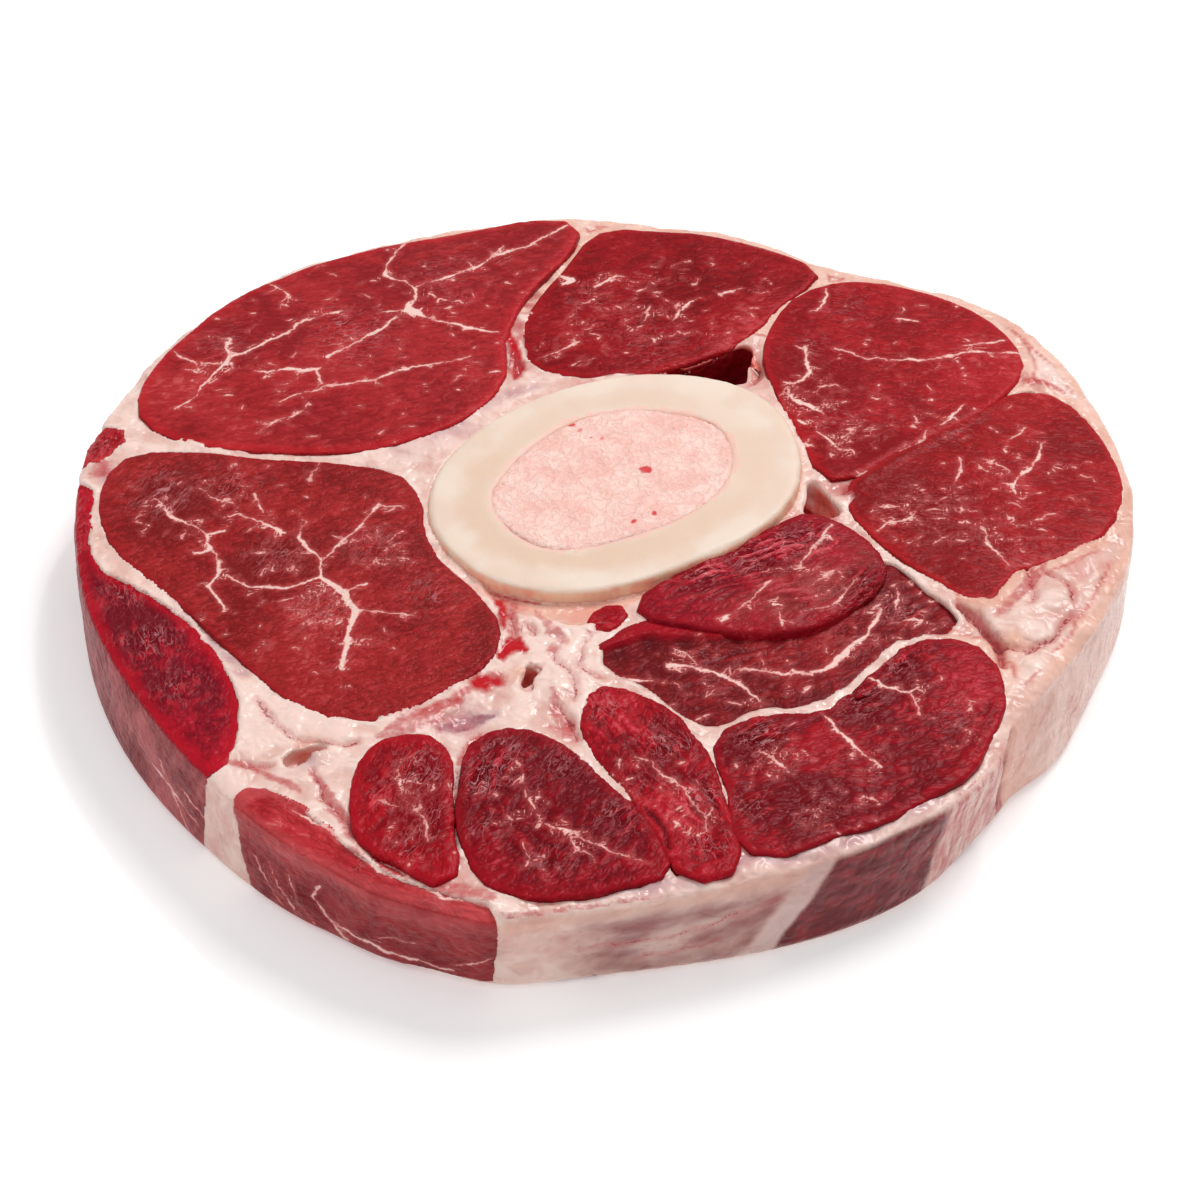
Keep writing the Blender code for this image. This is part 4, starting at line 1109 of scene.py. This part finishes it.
def bonePiece(s):
    print("bone")
    mesh = fineMesh("bone", s["voxel"], s["swell"], 1)
    co, normals = pointsOf(mesh)
    height = co[:, 2] / mm
    flat = smooth(np.abs(normals[:, 2]), 0.35, 0.8)
    out = planOf(co) - np.array(s["middle"])
    facing = ((normals[:, :2] * out).sum(axis=1) > 0)[:, None]
    inner = toWall(co, np.where(facing, (0, 0, 1), normals))
    outer = toWall(co, np.where(facing, normals, (0, 0, 1)))
    raised = 0.05 * ripples(co, 6, 41) + 0.04 * ripples(co, 1.5, 42)
    side = 0.25 * ripples(co, 6, 43)
    co += normals * ((raised * flat + side * (1 - flat)) * smooth(height, 2, 6) * mm)[:, None]
    mesh.vertices.foreach_set("co", co.ravel())
    turn = np.arctan2(out[:, 1], out[:, 0])
    store(mesh, "side", 1 - flat)
    store(mesh, "ring", inner / (inner + outer + 0.01))
    store(mesh, "marrowEdge", inner)
    store(mesh, "lower", 0.5 - 0.5 * np.sin(turn + 0.5))
    f = Finish("sawnBone")
    f.colour = f.blend(f.between(f.noise(12), 0.35, 0.65), s["cream"], s["light"])
    # a beige ring between the walls, stronger on the near side, and a ragged pink inner edge
    ring = f.added(f.noise(6), 0.5, f.attribute("ring"))
    beige = f.times(f.between(ring, 1.0, 0.62), f.between(ring, 0.22, 0.46))
    f.lay(f.times(beige, f.added(f.attribute("lower"), 0.65, 0.25)), s["inner"])
    ragged = f.added(f.noise(1.8, detail=3.0, roughness=0.65), -4.2, f.attribute("marrowEdge"))
    f.lay(f.between(ragged, -0.75, -1.3), s["pink"])
    patch = f.noise(3, f.drawnAlong((0, 0, 1), 0.4), detail=3.0)
    wall = f.blend(f.between(patch, 0.4, 0.66), s["side"], s["sidePink"])
    f.colour = f.mix(f.attribute("side"), f.colour, wall)
    saw = f.noise(0.9, f.drawnAlong((0.98, 0.2, 0), 0.08))
    material = f.finish(
        0.5, f.bump(f.added(saw, 0.5, f.noise(0.5)), 0.1, 0.5), Subsurface_Weight=0.4,
        Subsurface_Radius=(1, 0.7, 0.5), Subsurface_Scale=3.0 * mm, Specular_IOR_Level=0.35,
    )
    return addPiece("bone", "bone", mesh, material)


def marrowPiece(s):
    print("marrow")
    mesh = fineMesh("marrow", s["voxel"], s["swell"], 1)
    co, normals = pointsOf(mesh)
    plan = planOf(co)
    flat = smooth(np.abs(normals[:, 2]), 0.3, 0.8)
    high = smooth(co[:, 2] / mm, 2, 6)
    raised = 0.3 + 0.16 * ripples(co, 2.6, 51) + 0.12 * crumple(co, 1.6, 52)
    co += normals * (raised * flat * high * mm)[:, None]
    mesh.vertices.foreach_set("co", co.ravel())
    store(mesh, "blood", spots(wander(co, plan, 0.5, 0.3), s["spots"]))
    f = Finish("marrowPink")
    loose = f.warped(f.place, 3, 2.0)
    strand = f.hills(f.noise(1.8, loose, detail=3.0), 0.09)
    broad = f.noise(6, loose, detail=3.0)
    f.colour = f.blend(f.between(broad, 0.36, 0.62), s["pink"], s["pale"])
    f.lay(f.between(strand, 0.6, 0.0, 0.0, 0.4), s["strand"])
    blood = f.added(f.noise(1.2, detail=3.0), 0.8, f.attribute("blood"))
    f.lay(f.between(blood, 0.85, 1.3), s["red"])
    relief = f.added(strand, 0.25, f.noise(0.8))
    material = f.finish(
        0.46, f.bump(relief, 0.3), Subsurface_Weight=0.25, Subsurface_Radius=(1, 0.5, 0.4),
        Subsurface_Scale=1.8 * mm, Specular_IOR_Level=0.35,
    )
    return addPiece("marrow", "marrow", mesh, material)


bonePiece(bone)
marrowPiece(marrow)


studio = {
    "floorSize": 6.0, "floorLift": 0.25, "floorTone": 0.8, "floorGlow": 0.3, "world": 0.34,
    "key": (9.6, 0.5, (0.5, 0.6, 1.2)),  # watts, width, place
    "fill": (2.0, 1.0, (-0.9, -0.2, 0.9)),
    "sky": (6.2, 1.6, (-0.1, -0.5, 1.5)),
    "sparkle": (2.3, 0.07, (0.35, 0.8, 1.1)),
    "cameraTarget": (-0.00075, -0.0095, 0.0113),
    "elevation": 43, "distance": 0.6, "lens": 99.6, "sensor": 36,
}


def addFloor(s):
    shape = bmesh.new()
    bmesh.ops.create_grid(shape, x_segments=1, y_segments=1, size=s["floorSize"] / 2)
    # it meets the slice over the rounded lower edges
    bmesh.ops.translate(shape, verts=shape.verts, vec=(0, 0, s["floorLift"] * mm))
    mesh = bpy.data.meshes.new("floor")
    shape.to_mesh(mesh)
    shape.free()
    f = Finish("floorPaper")
    f.surface.inputs["Base Color"].default_value = (s["floorTone"], s["floorTone"], s["floorTone"], 1)
    f.surface.inputs["Roughness"].default_value = 0.9
    f.surface.inputs["Specular IOR Level"].default_value = 0.0
    f.surface.inputs["Emission Color"].default_value = (1, 1, 1, 1)
    f.surface.inputs["Emission Strength"].default_value = s["floorGlow"]
    mesh.materials.append(f.material)
    floor = bpy.data.objects.new("floor", mesh)
    bpy.context.scene.collection.objects.link(floor)


def addArea(name, power, size, place):
    light = bpy.data.lights.new(name, "AREA")
    light.energy = power
    light.shape = "DISK"
    light.size = size
    lamp = bpy.data.objects.new(name, light)
    lamp.location = place
    lamp.rotation_euler = (-Vector(place)).to_track_quat("-Z", "Y").to_euler()
    bpy.context.scene.collection.objects.link(lamp)


def addCamera(s):
    lens = bpy.data.cameras.new("camera")
    lens.sensor_width = s["sensor"]
    lens.lens = s["lens"]
    lens.clip_start = 0.01
    camera = bpy.data.objects.new("camera", lens)
    tilt = math.radians(s["elevation"])
    away = Vector((0, -math.cos(tilt), math.sin(tilt))) * s["distance"]
    camera.location = Vector(s["cameraTarget"]) + away
    camera.rotation_euler = (math.pi / 2 - tilt, 0, 0)
    bpy.context.scene.collection.objects.link(camera)
    bpy.context.scene.camera = camera


print("floor, light, camera")
addFloor(studio)
for name in ("key", "fill", "sky", "sparkle"):
    addArea(name, *studio[name])
addCamera(studio)
world = bpy.data.worlds.new("studio")
world.use_nodes = True
world.node_tree.nodes["Background"].inputs["Color"].default_value = (1, 1, 1, 1)
world.node_tree.nodes["Background"].inputs["Strength"].default_value = studio["world"]
bpy.context.scene.world = world
bpy.context.scene.view_settings.view_transform = "Standard"
